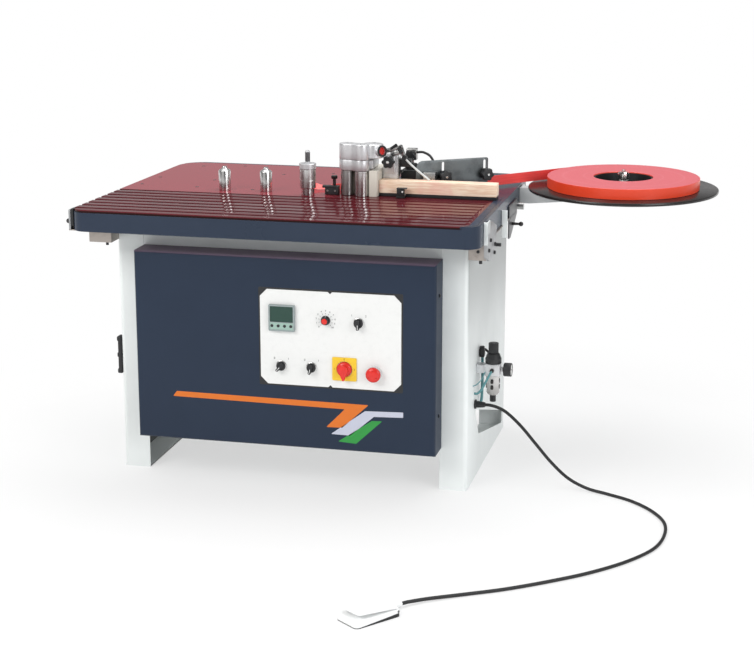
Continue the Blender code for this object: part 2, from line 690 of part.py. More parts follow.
# ---------------------------------------------------------------- reel
def reel():
    arm_end = REEL_X + 0.020
    arm_top = REEL_LOW - 0.0035
    root = TABLE_WIDTH + GAP
    side = [(root, arm_top), (root, arm_top - 0.046), (TABLE_WIDTH + 0.030, arm_top - 0.046)]
    side += [(arm_end, arm_top - 0.020), (arm_end, arm_top)]
    arm = piece("reel_arm", prism(side, REEL_Y - 0.004, REEL_Y + 0.004, "Y"), "arm_grey")
    low = (TABLE_WIDTH + 0.004, REEL_Y - 0.003, arm_top - 0.005)
    shape(arm, "UNION", block(low, (arm_end - 0.002, REEL_Y + 0.034, arm_top)))
    low = (root, REEL_Y - 0.002, arm_top - 0.045)
    shape(arm, "UNION", block(low, (TABLE_WIDTH + 0.006, REEL_Y + 0.060, arm_top - 0.001)))
    shape(arm, "UNION", rod(0.022, arm_top - 0.012, arm_top - 0.0005), (REEL_X, REEL_Y, 0))

    low = arm_top + GAP
    post = [(0, low), (0.020, low), (0.020, REEL_LOW - GAP), (SPINDLE_RADIUS, REEL_LOW - GAP)]
    post += [(SPINDLE_RADIUS, ROLL_LOW + 0.014), (0.0145, ROLL_LOW + 0.014), (0.0145, ROLL_LOW + 0.020)]
    post += [(0.006, ROLL_LOW + 0.021), (0.006, ROLL_LOW + 0.036), (0, ROLL_LOW + 0.037)]
    piece("reel_spindle", turned(post), "steel", (REEL_X, REEL_Y, 0))

    bore = SPINDLE_RADIUS + GAP
    edge = 0.0015
    disc = [(bore, 0), (REEL_RADIUS - edge, 0), (REEL_RADIUS, edge), (REEL_RADIUS, REEL_THICK - edge)]
    disc += [(REEL_RADIUS - edge, REEL_THICK), (bore, REEL_THICK)]
    piece("reel_disc", turned(disc, 48, closed=True), "disc_black", (REEL_X, REEL_Y, REEL_LOW))
    roll = [(ROLL_BORE, 0), (ROLL_RADIUS, 0), (ROLL_RADIUS, ROLL_HEIGHT), (ROLL_BORE, ROLL_HEIGHT)]
    piece("tape_roll", turned(roll, 48, closed=True), "tape_red", (REEL_X, REEL_Y, ROLL_LOW))


# ---------------------------------------------------------------- drive under the table
def pitch_radius(teeth):
    return CHAIN_PITCH / (2 * math.sin(math.pi / teeth))


def drive():
    """Two equal gears couple the rollers, and a chain drives them from the motor.

    The number of teeth is odd, so a tooth of one gear faces a gap of the other.
    """
    root = GEAR_MODULE * (GEAR_TEETH / 2 - 1.0)
    tip = GEAR_MODULE * (GEAR_TEETH / 2 + 0.7)
    for name, x, y, shaft_low in (
        ("glue_gear", GLUE_ROLLER_X, GLUE_ROLLER_Y, GEAR_LOW - 0.006),
        ("press_gear", PRESS_ROLLER_X, PRESS_ROLLER_Y, SPROCKET_LOW - 0.004),
    ):
        toothed = prism(wheel(GEAR_TEETH, root, tip, 0.25, 0.12), GEAR_LOW, GEAR_LOW + GEAR_THICK)
        gear = piece(name, toothed, "steel", (x, y, 0), (0, 0, ROLLER_LINE_ANGLE))
        shape(gear, "UNION", rod(AXLE_RADIUS, shaft_low, TABLE_HEIGHT), (x, y, 0))

    bore = AXLE_RADIUS + GAP
    for name, teeth, x, y in (
        ("drive_sprocket", DRIVE_TEETH, MOTOR_X, MOTOR_Y),
        ("roller_sprocket", ROLLER_TEETH, PRESS_ROLLER_X, PRESS_ROLLER_Y),
    ):
        radius = pitch_radius(teeth)
        outline = wheel(teeth, radius - 0.0028, radius + 0.0026, 0.36, 0.10)
        hole = [Vector(point).normalized() * bore for point in outline]
        rim = band(outline, hole, SPROCKET_LOW, SPROCKET_LOW + SPROCKET_THICK)
        piece(name, rim, "steel", (x, y, 0))

    motor = [(0, 0.470), (0.052, 0.470), (0.055, 0.474), (0.055, 0.600), (0.048, 0.604), (0.048, 0.684)]
    motor += [(AXLE_RADIUS, 0.684), (AXLE_RADIUS, SPROCKET_LOW + SPROCKET_THICK + 0.002)]
    motor += [(0, motor[-1][1])]
    at = (MOTOR_X, MOTOR_Y, 0)
    body = piece("drive_motor", turned(motor), "motor_grey", at)
    shape(body, "UNION", block((-0.075, -0.060, 0.655), (0.045, 0.060, 0.663)), at)
    shape(body, "UNION", block((-0.078, -0.060, 0.654), (-0.070, 0.060, CABINET_TOP)), at)

    ends = ((MOTOR_X, MOTOR_Y), (PRESS_ROLLER_X, PRESS_ROLLER_Y))
    loops = []
    for clear in (0.0070, 0.0032):
        radii = [pitch_radius(teeth) + clear for teeth in (DRIVE_TEETH, ROLLER_TEETH)]
        loops.append(belt(ends[0], radii[0], ends[1], radii[1]))
    piece("drive_chain", band(*loops, SPROCKET_LOW + 0.001, SPROCKET_LOW + 0.007), "steel")


# ---------------------------------------------------------------- air filter, hose and pedal
def air_unit():
    """The filter regulator hangs on the cabinet: knob, body, gauge, bowl and drain on one axis."""
    x, y = REGULATOR_X, REGULATOR_Y
    half = 0.0215
    case = block((-half, -half, 0.300), (half, half, 0.3335), 0.002)
    body = piece("regulator_body", case, "aluminium", (x, y, 0))
    bonnet = turned([(0, 0.330), (0.0225, 0.334), (0.0225, 0.348), (0.0165, 0.3615), (0, 0.3615)])
    shape(body, "UNION", bonnet, (x, y, 0))
    bracket = block((BODY_RIGHT + GAP - x, -0.015, 0.306), (-half + 0.004, 0.015, 0.329))
    shape(body, "UNION", bracket, (x, y, 0))

    cap = prism(star(12, 0.0140, 0.0010, 4), 0.3618, 0.3915)
    soften(cap, 0.0015, lambda co: co.z > 0.391)
    piece("regulator_knob", cap, "black", (x, y, 0))
    bowl = [(0, 0.2425), (0.0125, 0.2425), (0.0178, 0.250), (0.0178, 0.292)]
    bowl += [(0.0195, 0.293), (0.0195, 0.2997), (0, 0.2997)]
    piece("filter_bowl", turned(bowl), "bowl", (x, y, 0))
    drain = prism(star(8, 0.0085, 0.0010, 4), 0.2225, 0.2422)
    piece("drain_valve", drain, "black", (x, y, 0))
    gauge = [(0, 0), (0.0050, 0), (0.0050, 0.008), (0.0175, 0.008), (0.0190, 0.010), (0.0190, 0.029)]
    gauge += [(0.0175, 0.030), (0, 0.030)]
    piece("pressure_gauge", turned(gauge), "black", (x + half + GAP, y, 0.3165), (0, 90, 0))


def smooth_route(knots, count):
    """Evenly shared points on a smooth curve through the route's own points."""
    ends = [2 * knots[0] - knots[1]] + knots + [2 * knots[-1] - knots[-2]]
    fine = []
    per_span = 24
    for number in range(1, len(ends) - 2):
        a, b, c, d = ends[number - 1 : number + 3]
        for step in range(per_span):
            t = step / per_span
            bend = (2 * a - 5 * b + 4 * c - d) * t**2 + (3 * b - a - 3 * c + d) * t**3
            fine.append(0.5 * (2 * b + (c - a) * t + bend))
    fine.append(knots[-1])
    travelled = [0.0]
    for before, after in zip(fine, fine[1:]):
        travelled.append(travelled[-1] + (after - before).length)
    points = []
    place = 0
    for step in range(count):
        target = travelled[-1] * step / (count - 1)
        while place < len(fine) - 2 and travelled[place + 1] < target:
            place += 1
        share = (target - travelled[place]) / (travelled[place + 1] - travelled[place])
        points.append(fine[place].lerp(fine[place + 1], min(share, 1.0)))
    return points


def tube(name, knots, radius, count, colour, roundness=2):
    """A hose or cord: a round section along a smooth route, straight at both ends, which are closed."""
    knots = [Vector(knot) for knot in knots]
    points = [knots[0]] + smooth_route(knots[1:-1], count - 2) + [knots[-1]]
    curve = bpy.data.curves.new(name, "CURVE")
    curve.dimensions = "3D"
    curve.bevel_depth = radius
    curve.bevel_resolution = roundness
    curve.use_fill_caps = True
    spline = curve.splines.new("POLY")
    spline.points.add(count - 1)
    for point, place in zip(spline.points, points):
        point.co = (*place, 1)
    curve.materials.append(FINISHES[colour])
    made = bpy.data.objects.new(name, curve)
    bpy.context.collection.objects.link(made)
    made.location = SHIFT


HOSE_ROUTE = (
    (REGULATOR_X, REGULATOR_Y - 0.0218, 0.3165),
    (REGULATOR_X, REGULATOR_Y - 0.028, 0.3165),
    (REGULATOR_X - 0.005, REGULATOR_Y - 0.040, 0.306),
    (REGULATOR_X - 0.014, REGULATOR_Y - 0.043, 0.288),
    (REGULATOR_X - 0.024, REGULATOR_Y - 0.042, 0.268),
    (REGULATOR_X - 0.034, REGULATOR_Y - 0.040, 0.2555),
    (BODY_RIGHT + 0.006, REGULATOR_Y - 0.040, 0.2530),
    (BODY_RIGHT + 2 * GAP, REGULATOR_Y - 0.040, 0.2530),
)
CORD_ROUTE = (
    (BODY_RIGHT + GLAND_LENGTH + 2 * GAP, GLAND_Y, GLAND_Z),
    (BODY_RIGHT + GLAND_LENGTH + 0.010, GLAND_Y, GLAND_Z),
    (1.110, 0.274, 0.2160),
    (1.140, 0.273, 0.2020),
    (1.182, 0.271, 0.1650),
    (1.225, 0.268, 0.1170),
    (1.270, 0.264, 0.0680),
    (1.318, 0.257, 0.0290),
    (1.372, 0.243, 0.0090),
    (1.430, 0.221, CORD_RADIUS + GAP),
    (1.500, 0.178, CORD_RADIUS + GAP),
    (1.560, 0.112, CORD_RADIUS + GAP),
    (1.600, 0.030, CORD_RADIUS + GAP),
    (1.608, -0.065, CORD_RADIUS + GAP),
    (1.590, -0.165, CORD_RADIUS + GAP),
    (1.535, -0.265, CORD_RADIUS + GAP),
    (1.455, -0.360, CORD_RADIUS + GAP),
    (1.366, -0.439, CORD_RADIUS + GAP),
    (1.270, -0.512, CORD_RADIUS + GAP),
    (1.180, -0.567, 0.0050),
    (1.105, -0.616, 0.0070),
)


def cable_gland():
    body = [(0, 0), (0.0135, 0), (0.0135, 0.005), (0.0105, 0.006), (0.0105, 0.018), (0.0095, 0.020)]
    body += [(0.0070, GLAND_LENGTH), (0, GLAND_LENGTH)]
    piece("cable_gland", turned(body, 18), "black", (BODY_RIGHT + GAP, GLAND_Y, GLAND_Z), (0, 90, 0))


def pedal():
    """A foot switch: a base with a boot for the cord, and a treadle hinged at the cord's end."""
    centre = Vector((PEDAL_X, PEDAL_Y))
    heading = Vector((math.cos(math.radians(PEDAL_ANGLE)), math.sin(math.radians(PEDAL_ANGLE))))
    base = prism([tuple(point) for point in pedal_outline()], 0, PEDAL_BASE_HEIGHT)
    soften(base, 0.002, lambda co: co.z > PEDAL_BASE_HEIGHT - GAP)
    body = piece("pedal_base", base, "pedal_cream")
    rear = centre + heading * (PEDAL_LENGTH / 2)
    boot = [(0, -0.010), (0.0085, -0.010), (0.0080, 0.006), (0.0062, PEDAL_BOOT), (0, PEDAL_BOOT)]
    shape(body, "UNION", turned(boot, 16), (*rear, BOOT_HEIGHT), (90, 0, PEDAL_ANGLE + 90))

    length = PEDAL_LENGTH - 2 * HINGE_INSET
    half = PEDAL_WIDTH / 2 - 0.003
    outline = rectangle((-length, -half), (0, half), (0.012, 0.004, 0.004, 0.012), 4)
    plate = prism(outline, 0.0004, 0.0090)
    soften(plate, 0.002, lambda co: co.z > 0.0089)
    hinge = centre + heading * (PEDAL_LENGTH / 2 - HINGE_INSET)
    treadle = piece("pedal_treadle", plate, "pedal_cream", (*hinge, PEDAL_BASE_HEIGHT + GAP))
    swing = Matrix.Rotation(math.radians(PEDAL_ANGLE), 3, "Z")
    tilt = Matrix.Rotation(math.radians(TREADLE_TILT), 3, "Y")
    treadle.rotation_euler = (swing @ tilt).to_euler()

    end = (*(rear + heading * (PEDAL_BOOT + GAP)), BOOT_HEIGHT)
    lead = (*(rear + heading * (PEDAL_BOOT + 0.020)), 0.0088)
    tube("pedal_cord", CORD_ROUTE + (lead, end), CORD_RADIUS, 76, "rubber")


# ---------------------------------------------------------------- controls
def on_panel(place):
    """A point on the control plate's face from its (x, z)."""
    return (place[0], PANEL_FACE - GAP, place[1])


def selector(name, place):
    """A turn switch: a round skirt with a finger bar across it."""
    skirt = turned([(0, 0), (0.0140, 0), (0.0140, 0.004), (0.0125, 0.0055), (0, 0.0055)])
    switch = piece(name, skirt, "black", on_panel(place), FACING)
    bar = block((-0.0040, -0.0125, 0.004), (0.0040, 0.0125, 0.0165), 0.0015)
    shape(switch, "UNION", bar, on_panel(place), FACING)


def panel_outline():
    """A plate with cut corners and a small notch in the middle of its upper and lower edge."""
    chamfer = 0.020
    notch = 0.006
    half = (PANEL_RIGHT - PANEL_LEFT) / 2
    middle = (PANEL_LEFT + PANEL_RIGHT) / 2
    right_half = [(0, PANEL_LOW + notch), (notch, PANEL_LOW), (half - chamfer, PANEL_LOW)]
    right_half += [(half, PANEL_LOW + chamfer), (half, PANEL_HIGH - chamfer)]
    right_half += [(half - chamfer, PANEL_HIGH), (notch, PANEL_HIGH), (0, PANEL_HIGH - notch)]
    left_half = [(-x, z) for x, z in right_half[-2:0:-1]]
    return [(middle + x, z) for x, z in right_half + left_half]


def controls():
    plate = prism(panel_outline(), PANEL_FACE, PANEL_FACE + PANEL_SHEET, "Y")
    piece("control_plate", plate, "panel_white")

    face = PANEL_FACE - GAP
    case = block((0.517, face - 0.009, 0.451), (0.590, face, 0.524), 0.0015)
    piece("temperature_controller", case, "black")

    knob = [(0, 0), (0.0120, 0), (0.0120, 0.003), (0.0098, 0.004), (0.0088, 0.015)]
    knob += [(0.0078, 0.016), (0, 0.016)]
    piece("speed_knob", turned(knob), "black", on_panel(SPEED_KNOB_PLACE), FACING)
    selector("feed_selector", FEED_SELECTOR_PLACE)
    selector("heater_selector", HEATER_SELECTOR_PLACE)
    selector("motor_selector", MOTOR_SELECTOR_PLACE)

    at = on_panel(MAIN_HANDLE_PLACE)
    base = turned([(0, 0), (0.0205, 0), (0.0205, 0.007), (0.0185, 0.009), (0, 0.009)])
    handle = piece("main_handle", base, "knob_red", at, FACING)
    shape(handle, "UNION", block((-0.0065, -0.0290, 0.006), (0.0065, 0.0190, 0.021), 0.002), at, FACING)

    mushroom = [(0, 0.0058), (0.0100, 0.0058), (0.0100, 0.0125), (0.0195, 0.0130), (0.0205, 0.0145)]
    mushroom += [(0.0205, 0.0190), (0.0180, 0.0225), (0.0110, 0.0248), (0, 0.0255)]
    piece("estop_button", turned(mushroom), "knob_red", on_panel(ESTOP_PLACE), FACING)


# ---------------------------------------------------------------- corner brackets
APRON_UNDERSIDE = TABLE_HEIGHT - APRON_HEIGHT - GAP


def left_bracket():
    """A clamp block under the front left corner, with a strap out to a thick plate beside the apron."""
    low = APRON_UNDERSIDE - 0.044
    clamp = block((-0.005, 0.100, low), (0.060, 0.160, APRON_UNDERSIDE), 0.0015)
    bracket = piece("bracket_left", clamp, "steel")
    plate_face = -SCREW_REACH + LEFT_SCREW_LENGTH + GAP
    strap = block((plate_face, 0.045, APRON_UNDERSIDE - 0.003), (0.020, 0.125, APRON_UNDERSIDE))
    shape(bracket, "UNION", strap)
    beside = block((plate_face, 0.045, APRON_UNDERSIDE - 0.002), (TABLE_LEFT - GAP, 0.080, 0.764), 0.001)
    shape(bracket, "UNION", beside)


def right_bracket():
    """A clamp block under the front right corner, a plate beside it, and a strap back to a gusset plate."""
    low = APRON_UNDERSIDE - 0.044
    high = (TABLE_WIDTH + 0.005, 0.160, APRON_UNDERSIDE)
    clamp = block((TABLE_WIDTH - 0.060, 0.100, low), high, 0.0015)
    bracket = piece("bracket_right", clamp, "steel")
    corners = [(0.095, 0.672), (0.150, 0.655), (0.235, 0.668), (0.245, 0.735), (0.160, 0.762), (0.095, 0.762)]
    near = TABLE_WIDTH + GAP
    shape(bracket, "UNION", prism(rounded(corners, 0.006), near, TABLE_WIDTH + BRACKET_PLATE, "X"))
    far = TABLE_WIDTH + GUSSET_PLATE
    strap = block((TABLE_WIDTH - 0.015, 0.110, APRON_UNDERSIDE - 0.003), (far, 0.600, APRON_UNDERSIDE))
    shape(bracket, "UNION", strap)
    gusset = [(0.483, 0.649), (0.510, 0.649), (0.619, 0.700), (0.619, 0.744), (0.483, 0.744)]
    shape(bracket, "UNION", prism(rounded(gusset, 0.004), near, far, "X"))


def thumb_screw(name, at, side, length):
    """A screw with a ball end, pointing away from the table."""
    profile = [(0, 0), (0.0045, 0), (0.0035, length - 0.012), (0.0065, length - 0.010)]
    profile += [(0.0070, length - 0.005), (0.0050, length - 0.001), (0, length)]
    piece(name, turned(profile, 16), "black", at, (0, 90 * side, 0))


def brackets():
    left_bracket()
    right_bracket()
    start = SCREW_REACH - LEFT_SCREW_LENGTH
    thumb_screw("thumb_screw_left", (-start, *LEFT_SCREW_PLACE), -1, LEFT_SCREW_LENGTH)
    near = TABLE_WIDTH + GUSSET_PLATE + GAP
    thumb_screw("thumb_screw_right", (near, *RIGHT_SCREW_PLACE), 1, 0.032)


cabinet()
front_cover()
table()
posts()
rollers()
glue_head()
cutter()
fence()
tape_guide()
feed_tape()
reel()
drive()
air_unit()
tube("air_hose", HOSE_ROUTE, 0.0035, 26, "hose_teal")
cable_gland()
pedal()
controls()
brackets()
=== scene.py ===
# %% [markdown]
# # An edge banding machine, dressed for its portrait
# An edge bander glues a plastic strip to the edge of a furniture board. This one is fed by hand: the board
# slides on a grooved red table, past a glue roller and a pressure roller, and the strip comes from a reel on
# an arm. The construction is already there as a frame of exact parts. This file adds what the eye looks
# for: rounded edges, screws, dials, the strip's layers, paint, steel, and the light.

# %% Load the frame
import json
import math

import bmesh
import bpy
from mathutils import Matrix, Vector

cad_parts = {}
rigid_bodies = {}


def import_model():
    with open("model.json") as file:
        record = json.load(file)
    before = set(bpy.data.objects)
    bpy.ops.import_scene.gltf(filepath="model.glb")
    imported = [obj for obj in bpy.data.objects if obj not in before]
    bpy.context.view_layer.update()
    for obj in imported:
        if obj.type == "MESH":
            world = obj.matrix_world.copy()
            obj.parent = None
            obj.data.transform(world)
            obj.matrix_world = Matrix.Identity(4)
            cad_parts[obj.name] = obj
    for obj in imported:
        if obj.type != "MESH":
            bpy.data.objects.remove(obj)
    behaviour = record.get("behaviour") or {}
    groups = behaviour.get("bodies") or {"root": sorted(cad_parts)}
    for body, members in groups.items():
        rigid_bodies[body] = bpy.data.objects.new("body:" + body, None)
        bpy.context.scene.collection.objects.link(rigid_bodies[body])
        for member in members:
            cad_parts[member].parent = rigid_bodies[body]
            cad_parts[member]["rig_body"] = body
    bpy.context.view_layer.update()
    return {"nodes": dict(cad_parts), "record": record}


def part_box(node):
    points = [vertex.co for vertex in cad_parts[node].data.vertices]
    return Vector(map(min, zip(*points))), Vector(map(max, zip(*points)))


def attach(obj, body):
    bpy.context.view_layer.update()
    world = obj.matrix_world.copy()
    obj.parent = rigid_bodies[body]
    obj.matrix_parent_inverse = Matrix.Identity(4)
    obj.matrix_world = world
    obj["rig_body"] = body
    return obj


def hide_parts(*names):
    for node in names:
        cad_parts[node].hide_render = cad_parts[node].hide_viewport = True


for old in list(bpy.data.objects):
    bpy.data.objects.remove(old, do_unlink=True)
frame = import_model()

# %% [markdown]
# Every place below is counted from a datum beside the table's front left corner, at floor level: the table
# starts 26 mm left of it and 18 mm behind it. One small function turns such a place into the frame's point.

# %% Places on the machine
GAP = 0.0003
TINY = 1e-6
HEXAGON = 6
UP, OUT, BACK = (0, 0, 1), (0, -1, 0), (0, 1, 0)
RIGHT, LEFT = (1, 0, 0), (-1, 0, 0)
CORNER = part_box("table_frame")[0] - Vector((-0.026, 0.018, 0.0))


def spot(x, y, z):
    """A point measured from the datum at the table's front left corner."""
    return Vector((CORNER.x + x, CORNER.y + y, z))


def middle(node):
    """The centre of a part's box."""
    low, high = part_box(node)
    return (low + high) / 2


def foot(node):
    """The point under the centre of a part's box, where a turned part starts."""
    low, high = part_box(node)
    return Vector(((low.x + high.x) / 2, (low.y + high.y) / 2, low.z))


def linked(name, data):
    """A new object in the scene."""
    made = bpy.data.objects.new(name, data)
    bpy.context.collection.objects.link(made)
    return made


TABLE_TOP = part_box("table_top")[1].z
ON_TABLE = TABLE_TOP + GAP
print("table top at", round(TABLE_TOP, 3), "m")

# %% [markdown]
# ## Camera
# A long lens from a little above table height keeps the upright edges nearly parallel, the way a catalogue
# shows a machine. The camera stands to the right, so that it also looks past the end of the cabinet.

# %% The camera
FOCAL_LENGTH = 86.75
CAMERA_PLACE = (1.9005, -4.5079, 1.6674)
CAMERA_ANGLES = (75.7, 0.0, 13.3)
camera = linked("camera", bpy.data.cameras.new("camera"))
camera.data.lens = FOCAL_LENGTH
camera.data.sensor_width = 36.0
camera.data.clip_end = 200.0
camera.location = spot(*CAMERA_PLACE)
camera.rotation_euler = [math.radians(angle) for angle in CAMERA_ANGLES]
bpy.context.scene.camera = camera
bpy.context.scene.view_settings.view_transform = "Standard"
print("camera", [round(value, 3) for value in camera.location])

# %% [markdown]
# ## Light
# Big lamps make the soft, even light of a studio. The key stands high on the left, a weaker fill on the
# right opens up the end of the cabinet, and a wide one overhead lays a sheen on the red table. Steel needs
# something to mirror, so the sky is not one flat white: glossy rays find a few darker upright bands in it.

# %% Lamps
AIM = Vector((0, 0, 0.55))


def lamp(name, place, size, power, tint=(1, 1, 1)):
    """A rectangular lamp that looks at the middle of the machine."""
    data = bpy.data.lights.new(name, "AREA")
    data.shape = "RECTANGLE"
    data.size, data.size_y = size
    data.energy = power
    data.color = tint
    made = linked(name, data)
    made.location = place
    made.rotation_euler = (AIM - Vector(place)).to_track_quat("-Z", "Y").to_euler()


lamp("key", (-2.6, -3.4, 3.3), (2.6, 2.0), 104, (1.0, 0.99, 0.97))
lamp("fill", (3.6, -2.6, 2.0), (2.4, 2.2), 62, (0.97, 0.985, 1.0))
lamp("overhead", (0.2, 1.0, 3.4), (3.2, 1.8), 58)
print("three lamps")

# %% [markdown]
# ## Shader arithmetic
# A finish is a small calculation over the surface: more grey here, rougher there. Node by node that is hard
# to read, so a wire gets Python's own operators, and `1 - mask * 0.4` builds the Math nodes by itself.

# %% Wires and finishes
class Wire:
    """A node's output that can be added, subtracted, multiplied and divided."""

    def __init__(self, tree, socket):
        self.tree = tree
        self.socket = socket

    def math(self, operation, first, second=0.0):
        return self.tree.add("ShaderNodeMath", {"operation": operation}, {0: first, 1: second})

    def __add__(self, other):
        return self.math("ADD", self, other)

    __radd__ = __add__

    def __sub__(self, other):
        return self.math("SUBTRACT", self, other)

    def __rsub__(self, other):
        return self.math("SUBTRACT", other, self)

    def __mul__(self, other):
        return self.math("MULTIPLY", self, other)

    __rmul__ = __mul__

    def __truediv__(self, other):
        return self.math("DIVIDE", self, other)

    def __pow__(self, other):
        return self.math("POWER", self, other)

    def most(self, other):
        return self.math("MAXIMUM", self, other)

    def size(self):
        return self.math("ABSOLUTE", self)

    def ease(self, low, high):
        """0 below low, 1 above high and a soft step between them."""
        values = {"Value": self, "From Min": low, "From Max": high}
        return self.tree.add("ShaderNodeMapRange", {"interpolation_type": "SMOOTHSTEP"}, values)


class Tree:
    """A node tree, with one way to add any node to it."""

    def __init__(self, nodes, links):
        self.nodes = nodes
        self.links = links

    def add(self, kind, settings=None, inputs=None, output=0):
        node = self.nodes.new(kind)
        for key, value in (settings or {}).items():
            if key == "stops":
                ramp = node.color_ramp
                while len(ramp.elements) < len(value):
                    ramp.elements.new(0.5)
                for element, (place, colour) in zip(ramp.elements, value):
                    element.position = place
                    element.color = (*colour, 1.0)
            else:
                setattr(node, key, value)
        for key, value in (inputs or {}).items():
            self.feed(node.inputs[key], value)
        return Wire(self, node.outputs[output])

    def feed(self, socket, value):
        if isinstance(value, Wire):
            self.links.new(value.socket, socket)
        elif socket.type == "RGBA" and len(value) == 3:
            socket.default_value = (*value, 1.0)
        else:
            socket.default_value = value

    def blend(self, share, first, second):
        """Goes from the first colour to the second as share goes from 0 to 1."""
        return self.add("ShaderNodeMix", {"data_type": "RGBA"}, {0: share, 6: first, 7: second}, 2)

    def noise(self, scale, detail=3.0, roughness=0.5, place=None):
        """Cloudy values from 0 to 1. A larger scale makes smaller clouds."""
        values = {"Scale": scale, "Detail": detail, "Roughness": roughness}
        values["Vector"] = place or self.place
        return self.add("ShaderNodeTexNoise", None, values)

    def streaks(self, scale, detail=3.0, roughness=0.7, turn=0.0):
        """Noise stretched along an axis. turn is an angle in plan."""
        values = {"Vector": self.place, "Rotation": (0, 0, turn), "Scale": scale}
        place = self.add("ShaderNodeMapping", {"vector_type": "POINT"}, values)
        return self.noise(1.0, detail, roughness, place)

    def axes(self, place=None):
        """The three numbers of a place, as wires."""
        node = self.nodes.new("ShaderNodeSeparateXYZ")
        self.feed(node.inputs[0], place or self.place)
        return [Wire(self, node.outputs[number]) for number in range(3)]

    def ray(self, kind):
        """1 for light rays of one kind and 0 for all others."""
        return self.add("ShaderNodeLightPath", output=kind)

    def bump(self, height, distance, strength):
        """Makes a surface look raised where height is large."""
        values = {"Height": height, "Distance": distance, "Strength": strength}
        return self.add("ShaderNodeBump", None, values)


class Finish(Tree):
    """A material whose one shader gets plain numbers, or wires for what changes over the surface."""

    def __init__(self, name, colour, roughness, metallic=0.0, **constants):
        self.material = bpy.data.materials.new(name)
        self.material.use_nodes = True
        super().__init__(self.material.node_tree.nodes, self.material.node_tree.links)
        self.shader = self.nodes["Principled BSDF"]
        self.place = self.add("ShaderNodeTexCoord", None, None, "Object")
        constants |= {"Base_Color": colour, "Roughness": roughness, "Metallic": metallic}
        for key, value in constants.items():
            self.set(key.replace("_", " "), value)

    def set(self, name, value):
        self.feed(self.shader.inputs[name], value)

    def coat(self, colour, roughness, relief, distance, strength):
        """Wires for what changes over the surface: its colour, its shine and its relief."""
        self.set("Base Color", colour)
        self.set("Roughness", roughness)
        self.set("Normal", self.bump(relief, distance, strength))
        return self

    def facing(self):
        """Which way the surface looks, as three numbers."""
        return self.axes(self.add("ShaderNodeNewGeometry", None, None, "Normal"))


print("wires and finishes are ready")

# %% [markdown]
# ## Floor and sky
# The floor is a plain pale sweep that keeps the machine's shadow and fades to white further out. Only the
# camera and mirror-like surfaces see the sky's white. The light that it sends is weaker, so that a colour
# looks about as bright as it is written.

# %% The floor
def floor_material():
    made = Finish("floor_paint", (0.86, 0.86, 0.86), 0.75)
    x, y, _ = made.axes()
    # an oval round the machine: 0 at its middle and 1 at its edge
    far = ((x * x) / 2.6 + (y * y) / 3.0) ** 0.5
    fade = far.ease(0.50, 1.10).most(0.55)
    glow = made.add("ShaderNodeEmission", None, {"Color": (1, 1, 1), "Strength": 1.0})
    seen = made.ray("Is Camera Ray").most(made.ray("Is Glossy Ray"))
    lit = Wire(made, made.shader.outputs[0])
    mixed = made.add("ShaderNodeMixShader", None, {0: fade * seen, 1: lit, 2: glow})
    made.feed(made.nodes["Material Output"].inputs["Surface"], mixed)
    return made.material


bpy.ops.mesh.primitive_plane_add(size=120, location=(0, 0, 0))
floor = bpy.context.object
floor.name = "floor"
floor.data.materials.append(floor_material())

# %% The sky
world = bpy.data.worlds.new("sky")
world.use_nodes = True
bpy.context.scene.world = world
sky = Tree(world.node_tree.nodes, world.node_tree.links)
sky.nodes.clear()
sky.place = sky.add("ShaderNodeTexCoord", None, None, "Generated")
across, deep, up = sky.axes()
# upright bands that go round the sky, darkest near the horizon
bearing = across.math("ARCTAN2", across, deep)
bands = (bearing * 3.0).math("SINE", bearing * 3.0).ease(0.25, 0.95)
horizon = 1 - up.ease(0.20, 0.34)
ceiling = up.ease(0.45, 0.80)
# upright metal in front mirrors the near half of the sky, where the bands are narrower and darker
near_bands = (bearing * 5.0).math("SINE", bearing * 5.0).ease(0.10, 0.80) * (0 - deep).ease(0.05, 0.35)
mirror = (0.20 + horizon * 0.26 + ceiling * 0.75) * (1 - bands * 0.55) * (1 - near_bands * 0.80)
sees_camera = sky.ray("Is Camera Ray")
sees_mirror = sky.ray("Is Glossy Ray").most(sky.ray("Is Transmission Ray"))
SKY_LIGHT = 0.70
strength = sees_camera.most(sees_mirror * mirror).most(SKY_LIGHT * (1 - sees_camera) * (1 - sees_mirror))
shine = sky.add("ShaderNodeBackground", None, {"Color": (1.0, 1.0, 1.0), "Strength": strength})
sky.feed(sky.nodes.new("ShaderNodeOutputWorld").inputs["Surface"], shine)
print("floor and sky")

# %% [markdown]
# ## Shape helpers
# Machine parts come in a few families: turned ones, plates cut to an outline, and blocks. Each family gets
# one function that returns a loose bmesh. Longer outlines are written in millimetres, as on a drawing, and
# `mm` makes metres of them. `settle` then puts a shape in place, gives it a finish and sets the body that
# it rides on.

# %% Outlines
CREASE = math.radians(35)


def mm(text):
    """Points in metres from a row of points in millimetres, such as "0 0, 16.2 0, 16.8 2.8"."""
    return [tuple(float(word) / 1000 for word in point.split()) for point in text.split(",")]


def arc(centre, radius, start, end, steps):
    """Points on a circle from one angle to another, in degrees."""
    points = []
    for step in range(steps + 1):
        angle = math.radians(start + (end - start) * step / steps)
        points.append((centre[0] + radius * math.cos(angle), centre[1] + radius * math.sin(angle)))
    return points


